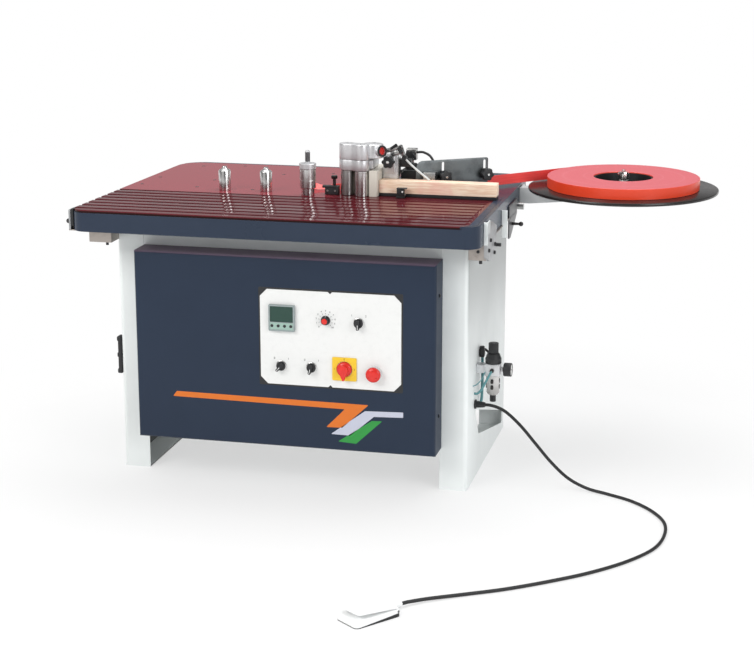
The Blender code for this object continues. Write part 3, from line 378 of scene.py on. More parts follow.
def rounded(corners, radius, steps=6):
    """A polygon whose corners are rounded. radius is one number, or one for each corner."""
    radii = [radius] * len(corners) if isinstance(radius, (int, float)) else radius
    points = []
    for number, (corner, size) in enumerate(zip(corners, radii)):
        corner = Vector(corner)
        before = (Vector(corners[number - 1]) - corner).normalized()
        after = (Vector(corners[(number + 1) % len(corners)]) - corner).normalized()
        half = before.angle(after) / 2
        centre = corner + (before + after).normalized() * (size / math.sin(half))
        first = corner + before * (size / math.tan(half)) - centre
        last = corner + after * (size / math.tan(half)) - centre
        for step in range(steps + 1):
            points.append(tuple(centre + first.lerp(last, step / steps).normalized() * size))
    return points


def corners_of(low, high):
    return [(low[0], low[1]), (high[0], low[1]), (high[0], high[1]), (low[0], high[1])]


def oblong(low, high, radius, steps=6):
    """A rectangle with round corners."""
    return rounded(corners_of(low, high), radius, steps)


def lobed(lobes, radius, depth, steps=12):
    """The wavy outline of a star knob."""
    points = []
    for step in range(lobes * steps):
        angle = 2 * math.pi * step / (lobes * steps)
        reach = radius - depth * (0.5 - 0.5 * math.cos(lobes * angle)) ** 1.4
        points.append((reach * math.cos(angle), reach * math.sin(angle)))
    return points


# %% Solids
def bridge(bm, rings, closed=False):
    """Walls between each ring of points and the next one. A ring of one point is a pole."""
    for lower, upper in zip(rings, rings[1:] + rings[:1] if closed else rings[1:]):
        for number in range(max(len(lower), len(upper))):
            corners = [lower[number % len(lower)], lower[(number + 1) % len(lower)]]
            corners += [upper[(number + 1) % len(upper)], upper[number % len(upper)]]
            bm.faces.new(list(dict.fromkeys(corners)))


def capped(bm, rings):
    """Closes both ends of a row of rings, then turns every face outwards."""
    bm.faces.new(rings[0])
    bm.faces.new(rings[-1])
    bridge(bm, rings)
    return outward(bm)


def outward(bm):
    bmesh.ops.recalc_face_normals(bm, faces=bm.faces)
    return bm


def bevelled(bm, edges, width, segments):
    bmesh.ops.bevel(bm, geom=edges, offset=width, segments=segments, affect="EDGES", profile=0.5)
    return bm


def circle(radius, steps):
    """Points on a whole circle, as (cosine, sine) pairs times the radius."""
    angles = [2 * math.pi * step / steps for step in range(steps)]
    return [(radius * math.cos(angle), radius * math.sin(angle)) for angle in angles]


def heading_at(points, number):
    """The direction of a path at one of its points."""
    return (points[min(number + 1, len(points) - 1)] - points[max(number - 1, 0)]).normalized()


def turned(profile, steps=72, closed=False):
    """A solid turned about Z from (radius, height) points. A closed profile makes a ring."""
    bm = bmesh.new()
    rings = []
    for radius, height in profile:
        points = circle(radius, steps) if radius else [(0, 0)]
        rings.append([bm.verts.new((*point, height)) for point in points])
    bridge(bm, rings, closed)
    return outward(bm)


def drum(radius, low, high, steps=72):
    """A plain cylinder about Z, or a hexagon where it has six steps."""
    return turned([(0, low), (radius, low), (radius, high), (0, high)], steps)


def plate(outline, low, high, ease=0.0, segments=2):
    """A plate on an outline, standing along Z, with both its rims eased."""
    bm = bmesh.new()
    capped(bm, [[bm.verts.new((*point, height)) for point in outline] for height in (low, high)])
    rims = [edge for edge in bm.edges if abs(edge.verts[0].co.z - edge.verts[1].co.z) < TINY]
    return bevelled(bm, rims, ease, segments) if ease else bm


def block(low, high, ease=0.0, segments=3):
    """A box between two corners with all its edges eased."""
    bm = plate(corners_of(low, high), low[2], high[2])
    return bevelled(bm, bm.edges, ease, segments) if ease else bm


def pipe(points, radius, steps=12):
    """A round bar along a path, with flat ends."""
    bm = bmesh.new()
    points = [Vector(point) for point in points]
    rings = []
    side = Vector(UP)
    for number, point in enumerate(points):
        ahead = heading_at(points, number)
        side = side - ahead * side.dot(ahead)
        if side.length < 1e-4:
            side = ahead.orthogonal()
        side.normalize()
        other = ahead.cross(side)
        rings.append([bm.verts.new(point + side * x + other * y) for x, y in circle(radius, steps)])
    return capped(bm, rings)


def curve_through(knots, count):
    """Evenly shared points on a smooth curve through a route's own points."""
    knots = [Vector(knot) for knot in knots]
    ends = [2 * knots[0] - knots[1]] + knots + [2 * knots[-1] - knots[-2]]
    fine = []
    per_span = 24
    for number in range(1, len(ends) - 2):
        a, b, c, d = ends[number - 1 : number + 3]
        for step in range(per_span):
            t = step / per_span
            bend = (2 * a - 5 * b + 4 * c - d) * t**2 + (3 * b - a - 3 * c + d) * t**3
            fine.append(0.5 * (2 * b + (c - a) * t + bend))
    fine.append(knots[-1])
    travelled = [0.0]
    for before, after in zip(fine, fine[1:]):
        travelled.append(travelled[-1] + (after - before).length)
    points = []
    place = 0
    for step in range(count):
        target = travelled[-1] * step / (count - 1)
        while place < len(fine) - 2 and travelled[place + 1] < target:
            place += 1
        share = (target - travelled[place]) / (travelled[place + 1] - travelled[place])
        points.append(fine[place].lerp(fine[place + 1], min(share, 1.0)))
    return points


# %% Placing
def facing(direction, at=(0, 0, 0), roll=0.0):
    """The matrix that stands a shape made along +Z at a point, looking in a direction."""
    turn = Vector(direction).to_track_quat("Z", "Y").to_matrix().to_4x4()
    return Matrix.Translation(at) @ turn @ Matrix.Rotation(math.radians(roll), 4, "Z")


def moved(bm, matrix):
    if isinstance(matrix, Vector):
        matrix = Matrix.Translation(matrix)
    bm.transform(matrix)
    return bm


def joined(*shapes):
    """One bmesh that holds several closed shapes."""
    whole = bmesh.new()
    for shape in shapes:
        carrier = bpy.data.meshes.new("carrier")
        shape.to_mesh(carrier)
        shape.free()
        whole.from_mesh(carrier)
        bpy.data.meshes.remove(carrier)
    return whole


def finished(made, finish, node=None, body=None):
    """The last steps for every piece. It rides on body, or where the node that it stands for rides."""
    made.data.materials.clear()
    made.data.materials.append(finish.material)
    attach(made, body or (frame["nodes"][node]["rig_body"] if node else "root"))
    if node:
        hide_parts(node)
    return made


def object_of(name, bm):
    """A smooth object that keeps its sharp edges, from a bmesh."""
    mesh = bpy.data.meshes.new(name)
    bm.to_mesh(mesh)
    bm.free()
    mesh.shade_smooth()
    mesh.set_sharp_from_angle(angle=CREASE)
    return linked(name, mesh)


def plain_mesh(made):
    """The mesh of an object after its modifiers, which then go."""
    bpy.context.view_layer.update()
    result = bpy.data.meshes.new_from_object(made.evaluated_get(bpy.context.evaluated_depsgraph_get()))
    made.modifiers.clear()
    return result


def settle(name, bm, finish, at=None, node=None, body=None):
    """Makes a finished piece of a bmesh, moved to its place."""
    if at is not None:
        moved(bm, at)
    return finished(object_of(name, bm), finish, node, body)


def cut(made, tool):
    """Cuts a closed shape out of a piece and keeps the result as a plain mesh.

    The walls of the hole stay flat, which keeps its rim crisp.
    """
    cutter = object_of("cutter", tool)
    cutter.data.shade_flat()
    modifier = made.modifiers.new("cut", "BOOLEAN")
    modifier.operation = "DIFFERENCE"
    modifier.solver = "EXACT"
    modifier.object = cutter
    made.data = plain_mesh(made)
    bpy.data.objects.remove(cutter)


def softened(node, finish, width, segments=2):
    """A copy of a sheet metal part with its triangles joined again and its edges rounded."""
    bm = bmesh.new()
    bm.from_mesh(frame["nodes"][node].data)
    bmesh.ops.remove_doubles(bm, verts=bm.verts, dist=TINY)
    bmesh.ops.dissolve_limit(bm, angle_limit=math.radians(1.5), verts=bm.verts, edges=bm.edges)
    modifier = settle(f"{node}_skin", bm, finish, node=node).modifiers.new("eased edges", "BEVEL")
    modifier.width = width
    modifier.segments = segments
    modifier.limit_method = "ANGLE"
    modifier.angle_limit = math.radians(30)
    modifier.harden_normals = True


def slab(low, high, ease, segments=3):
    """A block between two places counted from the datum."""
    return block(spot(*low), spot(*high), ease, segments)


def bar(first, last, radius, steps):
    """A straight round bar between two places counted from the datum."""
    return pipe([spot(*first), spot(*last)], radius, steps)


def tube(name, places, radius, finish, count, steps):
    """A bent tube or rod on a smooth curve through places counted from the datum."""
    path = curve_through([spot(*place) for place in places], count)
    settle(name, pipe(path, radius, steps), finish)


print("shape helpers are ready")

# %% [markdown]
# ## Finishes
# A painted sheet is never one flat colour. Powder coat has a fine orange peel, a little haze where hands
# and boards have rubbed it, and a shade more dirt near the floor. Each finish below is one function that
# adds these marks at their real size. The constants go straight on the shader's own sockets.

# %% Paints
def scaled(colour, factor):
    return tuple(channel * factor for channel in colour)


def powder_coat(name, colour, roughness, peel=0.00006, haze=0.05, shade=0.0, top=None):
    made = Finish(name, colour, roughness)
    clouds = made.noise(3.2, 4.0, 0.6)
    grain = made.noise(420.0, 2.0, 0.55)
    place, _, height = made.axes()
    across, _, lift = made.facing()
    dust = (1 - height.ease(0.0, 0.28)) * made.noise(9.0, 5.0, 0.65) * 0.16
    body = made.blend(clouds.ease(0.35, 0.75), colour, scaled(colour, 1 - haze * 2.4))
    # the end wall greys a little towards the top, where the table keeps the light off it
    end_wall = across.ease(0.5, 0.9) * height.ease(0.28, 0.60) * shade
    body = made.blend(end_wall, body, scaled(colour, 0.5))
    # painted shade: the inner face of the left wall, which only the gap under the cover shows, is darkened
    # almost to black
    inner_wall_shade = across.ease(0.5, 0.9) * (1 - place.ease(-0.3, -0.1)) * shade
    body = made.blend(inner_wall_shade, body, scaled(colour, 0.02))
    # faces that look up take the top colour where one is given: painted light on upper faces
    body = made.blend(dust, made.blend(lift.ease(0.6, 0.95), body, top or colour), scaled(colour, 0.72))
    return made.coat(body, roughness + (clouds - 0.5) * 0.10 + (grain - 0.5) * 0.06, grain, peel, 0.5)


WHITE_COAT = powder_coat("white_powder_coat", (0.83, 0.865, 0.86), 0.42, shade=0.95)
# painted light: the blue cover's top return is painted a lighter purple sheen
PAINTED_TOP_SHEEN = (0.200, 0.145, 0.205)
BLUE_COAT = powder_coat("blue_powder_coat", (0.019, 0.031, 0.057), 0.46, 0.00005, 0.04, top=PAINTED_TOP_SHEEN)
BLUE_COAT.set("Specular IOR Level", 0.22)
ARM_PAINT = powder_coat("grey_arm_paint", (0.60, 0.62, 0.63), 0.45)
MOTOR_PAINT = powder_coat("grey_motor_paint", (0.16, 0.18, 0.20), 0.50, 0.00015, 0.10)
POT_ENAMEL = powder_coat("cream_pot_enamel", (0.72, 0.68, 0.60), 0.42)
PEDAL_PAINT = powder_coat("cream_pedal_paint", (0.93, 0.94, 0.94), 0.46, 0.00010, 0.03)
print("six paints")

# %% [markdown]
# The table's edge is brushed with a thicker enamel that stays glossy, and its top is a hard red laminate.
# Boards slide over the laminate all day, so it has long, very faint rubbing marks in the feed direction and
# a grain so fine that it shows only in the shine.

# %% Table enamel and laminate
def table_enamel():
    colour = (0.024, 0.036, 0.062)
    made = Finish("table_enamel", colour, 0.26, IOR=1.32)
    clouds = made.noise(5.0, 4.0, 0.6)
    tone = made.blend(clouds.ease(0.3, 0.8), colour, (0.020, 0.031, 0.054))
    return made.coat(tone, 0.20 + clouds * 0.12, made.noise(160.0, 2.0), 0.00008, 0.4)


def red_laminate():
    colour = (0.115, 0.016, 0.022)
    made = Finish("red_laminate", colour, 0.14, IOR=1.21)
    x, y, z = made.axes()
    low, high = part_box("table_top")
    smooth = (y - low.y).ease(0.336, 0.344) * (1 - (x - low.x).ease(0.60, 0.68))
    edge = 1 - (z - high.z).ease(-0.0032, -0.0028)
    clouds = made.noise(2.6, 4.0, 0.6)
    rubbed = made.streaks((14.0, 260.0, 14.0), 5.0)
    grain = made.noise(900.0, 2.0, 0.6)
    tone = made.blend(clouds.ease(0.3, 0.75), colour, (0.090, 0.011, 0.016))
    # painted reflection: the smooth back left area is painted much lighter, for the sky that it mirrors
    tone = made.blend(smooth, tone, (0.280, 0.030, 0.045))
    tone = made.blend(rubbed.ease(0.52, 0.80) * 0.16, tone, (0.30, 0.050, 0.060))
    # the sheet's front face is darkened: partly its own dark edge, partly painted shade
    tone = made.blend(edge, tone, (0.020, 0.0045, 0.0040))
    # the right-hand rim is painted like the apron, up to a line with a rounded front corner
    past_side = (x - (CORNER.x + 1.070 - 0.030)).most(0.0)
    past_front = (low.y + 0.029 - y).most(0.0)
    reach = (past_side * past_side + past_front * past_front) ** 0.5
    rim = reach.ease(0.0296, 0.0304)
    tone = made.blend(rim, tone, (0.030, 0.042, 0.072))
    return made.coat(tone, 0.07 + rubbed * 0.07 + clouds * 0.03 + rim * 0.16, grain, 0.00002, 0.35)


TABLE_ENAMEL = table_enamel()
RED_LAMINATE = red_laminate()
print("enamel and laminate")

# %% [markdown]
# Turned steel has rings that a tool left round its axis. Rings are a pattern of the height for an upright
# part, so they need no texture: noise that is stretched flat in X and Y, and very fine in Z, draws them.
# Rolled plate has straight brush marks instead, and a casting is only lightly mottled.

# %% Metals
def turned_steel(name, colour, roughness, rings=2200.0, grime=0.35):
    made = Finish(name, colour, roughness, 1.0)
    lines = made.streaks((6.0, 6.0, rings))
    stains = made.noise(60.0, 5.0, 0.7)
    tone = made.blend(stains.ease(0.45, 0.80), colour, scaled(colour, 1 - grime))
    shine = roughness - 0.05 + lines * 0.16 + stains.ease(0.5, 0.8) * 0.10
    return made.coat(tone, shine, lines, 0.00002, 0.25)


def brushed_plate(name, colour, roughness, along, spread=1700.0):
    """Brush marks run along an angle in plan, in degrees."""
    made = Finish(name, colour, roughness, 1.0)
    lines = made.streaks((12.0, spread, spread), 4.0, 0.7, -math.radians(along))
    smears = made.noise(26.0, 5.0, 0.65)
    tone = made.blend(smears.ease(0.42, 0.75), colour, scaled(colour, 0.66))
    return made.coat(tone, roughness - 0.06 + lines * 0.14 + smears * 0.08, lines, 0.00003, 0.30)


def cast_aluminium():
    colour = (0.72, 0.725, 0.74)
    made = Finish("machined_aluminium", colour, 0.34, 0.72)
    speckle = made.noise(1500.0, 2.0, 0.6)
    clouds = made.noise(45.0, 4.0, 0.6)
    tone = made.blend(clouds.ease(0.4, 0.8), colour, (0.66, 0.665, 0.68))
    return made.coat(tone, 0.32 + clouds * 0.06 + speckle * 0.06, speckle, 0.00004, 0.30)


STEEL = turned_steel("turned_steel", (0.48, 0.48, 0.47), 0.26, 1500.0)
BRIGHT_STEEL = turned_steel("bright_steel", (0.74, 0.74, 0.73), 0.16, 2600.0, 0.18)
DARK_STEEL = turned_steel("blackened_steel", (0.16, 0.16, 0.165), 0.36, 1500.0, 0.30)
BLOCK_STEEL = brushed_plate("milled_block_steel", (0.42, 0.38, 0.35), 0.34, 0.0)
GUIDE_STEEL = brushed_plate("guide_plate_steel", (0.165, 0.180, 0.185), 0.38, 34.0)
HINGE_GREY = brushed_plate("grey_hinge_metal", (0.46, 0.47, 0.48), 0.42, 90.0, 900.0)
ALUMINIUM = cast_aluminium()
print("seven metals")

# %% [markdown]
# Plastics differ mostly in their shine. The knobs are moulded with a fine spark-eroded grain, the red
# buttons are polished, and the edging strip is satin. The rolled-up strip shows the edges of its many
# layers: rings in the distance from the reel's axis, which the finish works out from X and Y.

# %% Plastics and rubber
def moulded(name, colour, roughness, grain=700.0, depth=0.00005):
    made = Finish(name, colour, roughness)
    speckle = made.noise(grain, 2.0, 0.6)
    clouds = made.noise(30.0, 3.0, 0.6)
    lighter = tuple(min(1.0, channel * 1.25 + 0.004) for channel in colour)
    tone = made.blend(clouds.ease(0.45, 0.85), colour, lighter)
    return made.coat(tone, roughness + (clouds - 0.5) * 0.16 + (speckle - 0.5) * 0.08, speckle, depth, 0.35)


def rolled_tape():
    made = Finish("rolled_tape", (0.80, 0.055, 0.040), 0.34)
    centre = middle("tape_roll")
    x, y, _ = made.axes()
    reach = ((x - centre.x) * (x - centre.x) + (y - centre.y) * (y - centre.y)) ** 0.5
    layers = made.add("ShaderNodeCombineXYZ", None, {0: reach * 830.0, 1: 0.0, 2: 0.0})
    edges = made.noise(1.0, 3.0, 0.75, layers)
    wide = made.noise(0.06, 3.0, 0.6, layers)
    # only the flat top and bottom show the edges of the layers
    flat = made.facing()[2].size().ease(0.6, 0.9)
    # the flat faces are painted paler pink than the side: partly the edges of the layers, partly painted
    # reflection
    face = made.blend(edges.ease(0.35, 0.70) * 0.50, (0.66, 0.125, 0.148), (0.50, 0.075, 0.090))
    face = made.blend(wide.ease(0.50, 0.75) * 0.45, face, (0.72, 0.22, 0.25))
    tone = made.blend(flat, (0.82, 0.060, 0.018), face)
    return made.coat(tone, 0.30 + edges * flat * 0.22, edges * flat, 0.00025, 0.5)


def flat_tape():
    made = Finish("edging_tape", (0.86, 0.085, 0.080), 0.30)
    streaks = made.streaks((9.0, 9.0, 500.0), 3.0, 0.6)
    tone = made.blend(streaks.ease(0.4, 0.8), (0.88, 0.090, 0.085), (0.74, 0.055, 0.050))
    return made.coat(tone, 0.24 + streaks * 0.14, streaks, 0.00002, 0.3)


BLACK = moulded("black_moulding", (0.016, 0.017, 0.019), 0.42)
GLOSS_BLACK = moulded("glossy_black", (0.012, 0.010, 0.010), 0.22, 300.0, 0.00002)
RED_PLASTIC = moulded("red_button_plastic", (0.66, 0.022, 0.016), 0.24, 500.0, 0.00002)
PALE_PLASTIC = moulded("pale_plastic", (0.62, 0.64, 0.64), 0.40)
BEZEL_GREY = moulded("controller_bezel_grey", (0.26, 0.31, 0.31), 0.36)
YELLOW_PLASTIC = moulded("yellow_switch_plate", (0.82, 0.53, 0.02), 0.36)
HOSE_PLASTIC = moulded("teal_hose", (0.10, 0.27, 0.29), 0.26, 200.0, 0.00002)
RUBBER = moulded("cord_rubber", (0.011, 0.011, 0.012), 0.52, 900.0, 0.00008)
ROLLED_TAPE = rolled_tape()
FLAT_TAPE = flat_tape()
print("plastics, rubber and the tape")

# %% [markdown]
# The fence is a planed board, pale with reddish streaks. Wood grain is rings seen lengthwise: noise that is
# stretched along the board and pushed through a wave. The small prints on the cover and the panel are vinyl
# and ink, flat colours with hardly any relief, so they share one short function.

# %% Wood, vinyl and ink
def planed_wood():
    made = Finish("planed_fence_wood", (0.72, 0.57, 0.43), 0.48)
    waves = made.streaks((5.0, 75.0, 75.0), 4.0, 0.65)
    pores = made.streaks((60.0, 900.0, 900.0), 2.0)
    patches = made.streaks((16.0, 26.0, 26.0), 2.0, 0.5)
    rings = (waves * 30.0).math("SINE", waves * 30.0) * 0.5 + 0.5
    tone = made.blend(rings, (0.98, 0.82, 0.65), (0.84, 0.60, 0.43))
    tone = made.blend(patches.ease(0.50, 0.72) * 0.55, tone, (0.86, 0.48, 0.40))
    tone = made.blend(pores.ease(0.55, 0.8) * 0.35, tone, (0.62, 0.40, 0.27))
    return made.coat(tone, 0.42 + pores * 0.18, rings * 0.4 + pores, 0.00012, 0.4)


def printed(name, colour, roughness=0.35):
    made = Finish(name, colour, roughness)
    worn = made.noise(55.0, 4.0, 0.7)
    faded = tuple(channel * 0.94 + 0.006 for channel in colour)
    tone = made.blend(worn.ease(0.45, 0.8), colour, faded)
    return made.coat(tone, roughness + (worn - 0.5) * 0.14, worn, 0.00001, 0.2)


WOOD = planed_wood()
ORANGE_VINYL = printed("orange_vinyl", (0.66, 0.150, 0.006))
PALE_VINYL = printed("pale_vinyl", (0.50, 0.52, 0.62))
GREEN_VINYL = printed("green_vinyl", (0.016, 0.27, 0.040))
PANEL_ENAMEL = printed("panel_enamel", (0.77, 0.775, 0.765), 0.34)
BLACK_INK = printed("black_ink", (0.018, 0.018, 0.020), 0.5)
WHITE_INK = printed("white_ink", (0.78, 0.78, 0.77), 0.45)
SCREEN = printed("dark_green_screen", (0.012, 0.050, 0.036), 0.10)
KEY_GREEN = printed("pale_green_keys", (0.30, 0.44, 0.38), 0.40)
print("wood, vinyl and ink")


# %% [markdown]
# The bowl of the air filter is smoky polycarbonate inside a steel guard. It is thick and dull enough that
# nothing behind it shows, so a plain coat over grey does better than glass, and it exports well.

# %% Filter bowl
def smoky_bowl():
    made = Finish("smoky_filter_bowl", (0.34, 0.36, 0.37), 0.18, Coat_Weight=0.6, Coat_Roughness=0.06)
    low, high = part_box("filter_bowl")
    height_share = (made.axes()[2] - low.z) / (high.z - low.z)
    # the bowl is darker towards the bottom
    tone = made.blend(height_share.ease(0.15, 0.75), (0.38, 0.37, 0.36), (0.60, 0.585, 0.575))
    return made.coat(tone, 0.14 + made.noise(90.0) * 0.10, made.noise(240.0), 0.00004, 0.3)


BOWL = smoky_bowl()
print("filter bowl")

# %% [markdown]
# Each finish knows the slot of the record that its pieces belong to, so a piece only has to name its finish.

# %% Slots
SLOTS = {
    "cabinet_white": (WHITE_COAT,),
    "cover_blue": (BLUE_COAT,),
    "table_blue": (TABLE_ENAMEL,),
    "top_red": (RED_LAMINATE,),
    "arm_grey": (ARM_PAINT,),
    "motor_grey": (MOTOR_PAINT,),
    "pot_cream": (POT_ENAMEL,),
    "pedal_cream": (PEDAL_PAINT,),
    "steel": (STEEL, BRIGHT_STEEL, DARK_STEEL, BLOCK_STEEL, HINGE_GREY),
    "plate_steel": (GUIDE_STEEL,),
    "aluminium": (ALUMINIUM,),
    "wood": (WOOD,),
    "tape_red": (FLAT_TAPE, ROLLED_TAPE),
    "black_plastic": (BLACK, GLOSS_BLACK, SCREEN, KEY_GREEN, BEZEL_GREY),
    "knob_red": (RED_PLASTIC, YELLOW_PLASTIC, ORANGE_VINYL),
    "panel_white": (PANEL_ENAMEL, PALE_PLASTIC, PALE_VINYL, BLACK_INK, WHITE_INK),
    "filter_bowl": (BOWL,),
    "hose_teal": (HOSE_PLASTIC, GREEN_VINYL),
    "cord_rubber": (RUBBER,),
}
for slot, finishes in SLOTS.items():
    for finish in finishes:
        finish.slot = slot
print(len(SLOTS), "slots")

# %% [markdown]
# ## The pedal's cord
# The cord comes first, because everything else keeps clear of it. It is a 9 mm rubber lead, about 1.65 m
# long, all of it in view: out of a gland in the cabinet's end, down to the floor and in one wide sweep to
# the pedal. The route is a short list of points, and a smooth curve goes through them.

# %% Route and lead
CORD_RADIUS = 0.0045
ON_FLOOR = CORD_RADIUS + GAP
CORD_ROUTE = (
    (1.0796, 0.274, 0.2200), (1.0890, 0.274, 0.2200), (1.110, 0.274, 0.2160), (1.140, 0.273, 0.2020),
    (1.182, 0.271, 0.1650), (1.225, 0.268, 0.1170), (1.270, 0.264, 0.0680), (1.318, 0.257, 0.0290),
    (1.372, 0.243, 0.0090), (1.430, 0.221, ON_FLOOR), (1.500, 0.178, ON_FLOOR), (1.560, 0.112, ON_FLOOR),
    (1.600, 0.030, ON_FLOOR), (1.608, -0.065, ON_FLOOR), (1.590, -0.165, ON_FLOOR),
    (1.535, -0.265, ON_FLOOR), (1.455, -0.360, ON_FLOOR), (1.366, -0.439, ON_FLOOR),
    (1.270, -0.512, ON_FLOOR), (1.180, -0.567, 0.0050), (1.105, -0.616, 0.0070),
)
PEDAL_MIDDLE = Vector((0.990, -0.7405, 0))
PEDAL_TURN = math.radians(51.0)
PEDAL_AHEAD = Vector((math.cos(PEDAL_TURN), math.sin(PEDAL_TURN), 0))
PEDAL_HALF = 0.065
BOOT = 0.030
# the last two points lead straight into the pedal's boot
boot_end = PEDAL_MIDDLE + PEDAL_AHEAD * (PEDAL_HALF + BOOT)
near_boot = boot_end + PEDAL_AHEAD * 0.020 + Vector((0, 0, 0.0088))
in_boot = boot_end + PEDAL_AHEAD * GAP + Vector((0, 0, 0.0095))
smooth = curve_through(CORD_ROUTE[1:] + (near_boot,), 220)
cord_path = [spot(*point) for point in (CORD_ROUTE[0], *smooth, in_boot)]
curve = bpy.data.curves.new("pedal_lead", "CURVE")
curve.dimensions = "3D"
curve.bevel_depth = CORD_RADIUS
curve.bevel_resolution = 4
curve.use_fill_caps = True
spline = curve.splines.new("POLY")
spline.points.add(len(cord_path) - 1)
for point, place in zip(spline.points, cord_path):
    point.co = (*place, 1)
spline.use_smooth = True
pedal_lead = finished(linked("pedal_lead", curve), RUBBER, "pedal_cord")

# %% [markdown]
# ## Parts that keep their own shape
# Every part starts with the finish of its slot in the record. Most of them get a finer piece further down
# that replaces them. The drive under the table, the blade, the strip and the thin hose stay as they are.

# %% Dress the parts
for part in frame["record"]["subparts"]:
    finish = SLOTS.get(part["material_slot"], [BLACK])[0]
    materials = frame["nodes"][part["node"]].data.materials
    materials.clear()
    materials.append(finish.material)

# %% [markdown]
# ## Cabinet and table
# Sheet metal is never knife-sharp: a press brake leaves a radius at each bend, and the paint rounds off the
# cut edges. So each of these parts gets a skin. It is the exact part with its flat triangles joined into
# whole faces again, and with a small Bevel on every edge, where the light can catch.

# %% Skins for the sheet metal
for node in ("side_frame_left", "side_frame_right"):
    softened(node, WHITE_COAT, 0.0009)
for node in ("front_panel", "rear_panel", "floor_pan"):
    softened(node, WHITE_COAT, 0.0005)
softened("front_cover", BLUE_COAT, 0.0010)
softened("table_frame", TABLE_ENAMEL, 0.0016, 3)
softened("table_top", RED_LAMINATE, 0.0006)
print("eight skins")

# %% [markdown]
# Countersunk screws hold the red sheet down. A screw head is the kind of thing that repeats, so Geometry
# Nodes puts one head on each point of a small mesh. Each point also says which way its screw looks.

# %% A tree that sets a head on every point
def point_cloud(name, places):
    """A mesh of loose points, each with the direction that its screw looks along."""
    mesh = bpy.data.meshes.new(name)
    mesh.from_pydata([tuple(place) for place, _ in places], [], [])
    looks = mesh.attributes.new("looks", "FLOAT_VECTOR", "POINT")
    for item, (_, direction) in zip(looks.data, places):
        item.vector = direction
    return linked(name, mesh)


def head_tree(name, head, finish):
    """Puts a copy of a shape on each point, turned to the point's own direction."""
    group = bpy.data.node_groups.new(name, "GeometryNodeTree")
    for way in ("INPUT", "OUTPUT"):
        group.interface.new_socket("Geometry", in_out=way, socket_type="NodeSocketGeometry")
    tree = Tree(group.nodes, group.links)
    points = tree.add("NodeGroupInput", output="Geometry")
    shape = tree.add("GeometryNodeObjectInfo", None, {"Object": head}, "Geometry")
    attribute = {"data_type": "FLOAT_VECTOR"}
    looks = tree.add("GeometryNodeInputNamedAttribute", attribute, {"Name": "looks"}, "Attribute")
    turn = tree.add("FunctionNodeAlignRotationToVector", {"axis": "Z"}, {"Vector": looks})
    copies = {"Points": points, "Instance": shape, "Rotation": turn}
    copies = tree.add("GeometryNodeInstanceOnPoints", None, copies)
    real = tree.add("GeometryNodeRealizeInstances", None, {"Geometry": copies})
    painted = tree.add("GeometryNodeSetMaterial", None, {"Geometry": real, "Material": finish.material})
    tree.feed(tree.nodes.new("NodeGroupOutput").inputs["Geometry"], painted)
    return group


def spread(name, places, head_bm, finish):
    """One piece that holds a copy of a head for every (place, direction)."""
    head = object_of(f"{name}_head", head_bm)
    cloud = point_cloud(name, places)
    cloud.modifiers.new("heads", "NODES").node_group = head_tree(name, head, finish)
    cloud.data = plain_mesh(cloud)
    bpy.data.objects.remove(head)
    return finished(cloud, finish)


def socket_head(radius, height):
    """A cap screw: a round head with a socket. The points are shares of its radius and height."""
    outside = [(0.55, 0), (1, 0), (1, 0.85), (0.88, 1), (0.52, 1), (0.48, 0.4), (0, 0.4)]
    return turned([(radius * across, height * up) for across, up in outside], 18)


def countersunk(radius):
    """A flat screw head with a small recess, 0.4 mm high."""
    outside = [(0, -1), (1, -1), (1, 2.4), (0.92, 4), (0.42, 4), (0.30, 0.8), (0, 0.8)]
    return turned([(radius * across, 0.0001 * up) for across, up in outside], 18)


def screws(name, look, places, radius, height, finish=DARK_STEEL):
    """Cap screws at places counted from the datum, all looking one way."""
    spread(name, [(spot(*place), look) for place in places], socket_head(radius, height), finish)


holes = mm("33 578, 22 452, 207 566, 195 439, 366 430, 218 833, 380 707, 93 804, 520 760, 690 760")
spread("table_screws", [(spot(x, y, TABLE_TOP), UP) for x, y in holes], countersunk(0.0052), DARK_STEEL)
print(len(holes), "table screws")

# %% [markdown]
# ## Control panel
# The white panel lies on a thin black gasket that shows at its cut corners and notches. Each control is made
# standing on the XY plane and is then turned to look out of the panel. Names and words are left off: the
# dials carry only plain numbers.

# %% Gasket and controller
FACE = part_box("control_plate")[0].y - GAP
COVER_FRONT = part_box("front_cover")[0].y
GASKET_BORDER = 0.0046


def on_panel(x, z, roll=0.0):
    """The matrix that stands a control on the panel."""
    return facing(OUT, (x, FACE, z), roll)


low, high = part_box("control_plate")
border = Vector((GASKET_BORDER, GASKET_BORDER))
gasket = plate(oblong(low.xz - border, high.xz + border, 0.004), 0, 0.0002)
settle("panel_gasket", gasket, BLACK, facing(OUT, (0, COVER_FRONT - 0.00005, 0)))
softened("control_plate", PANEL_ENAMEL, 0.0004)


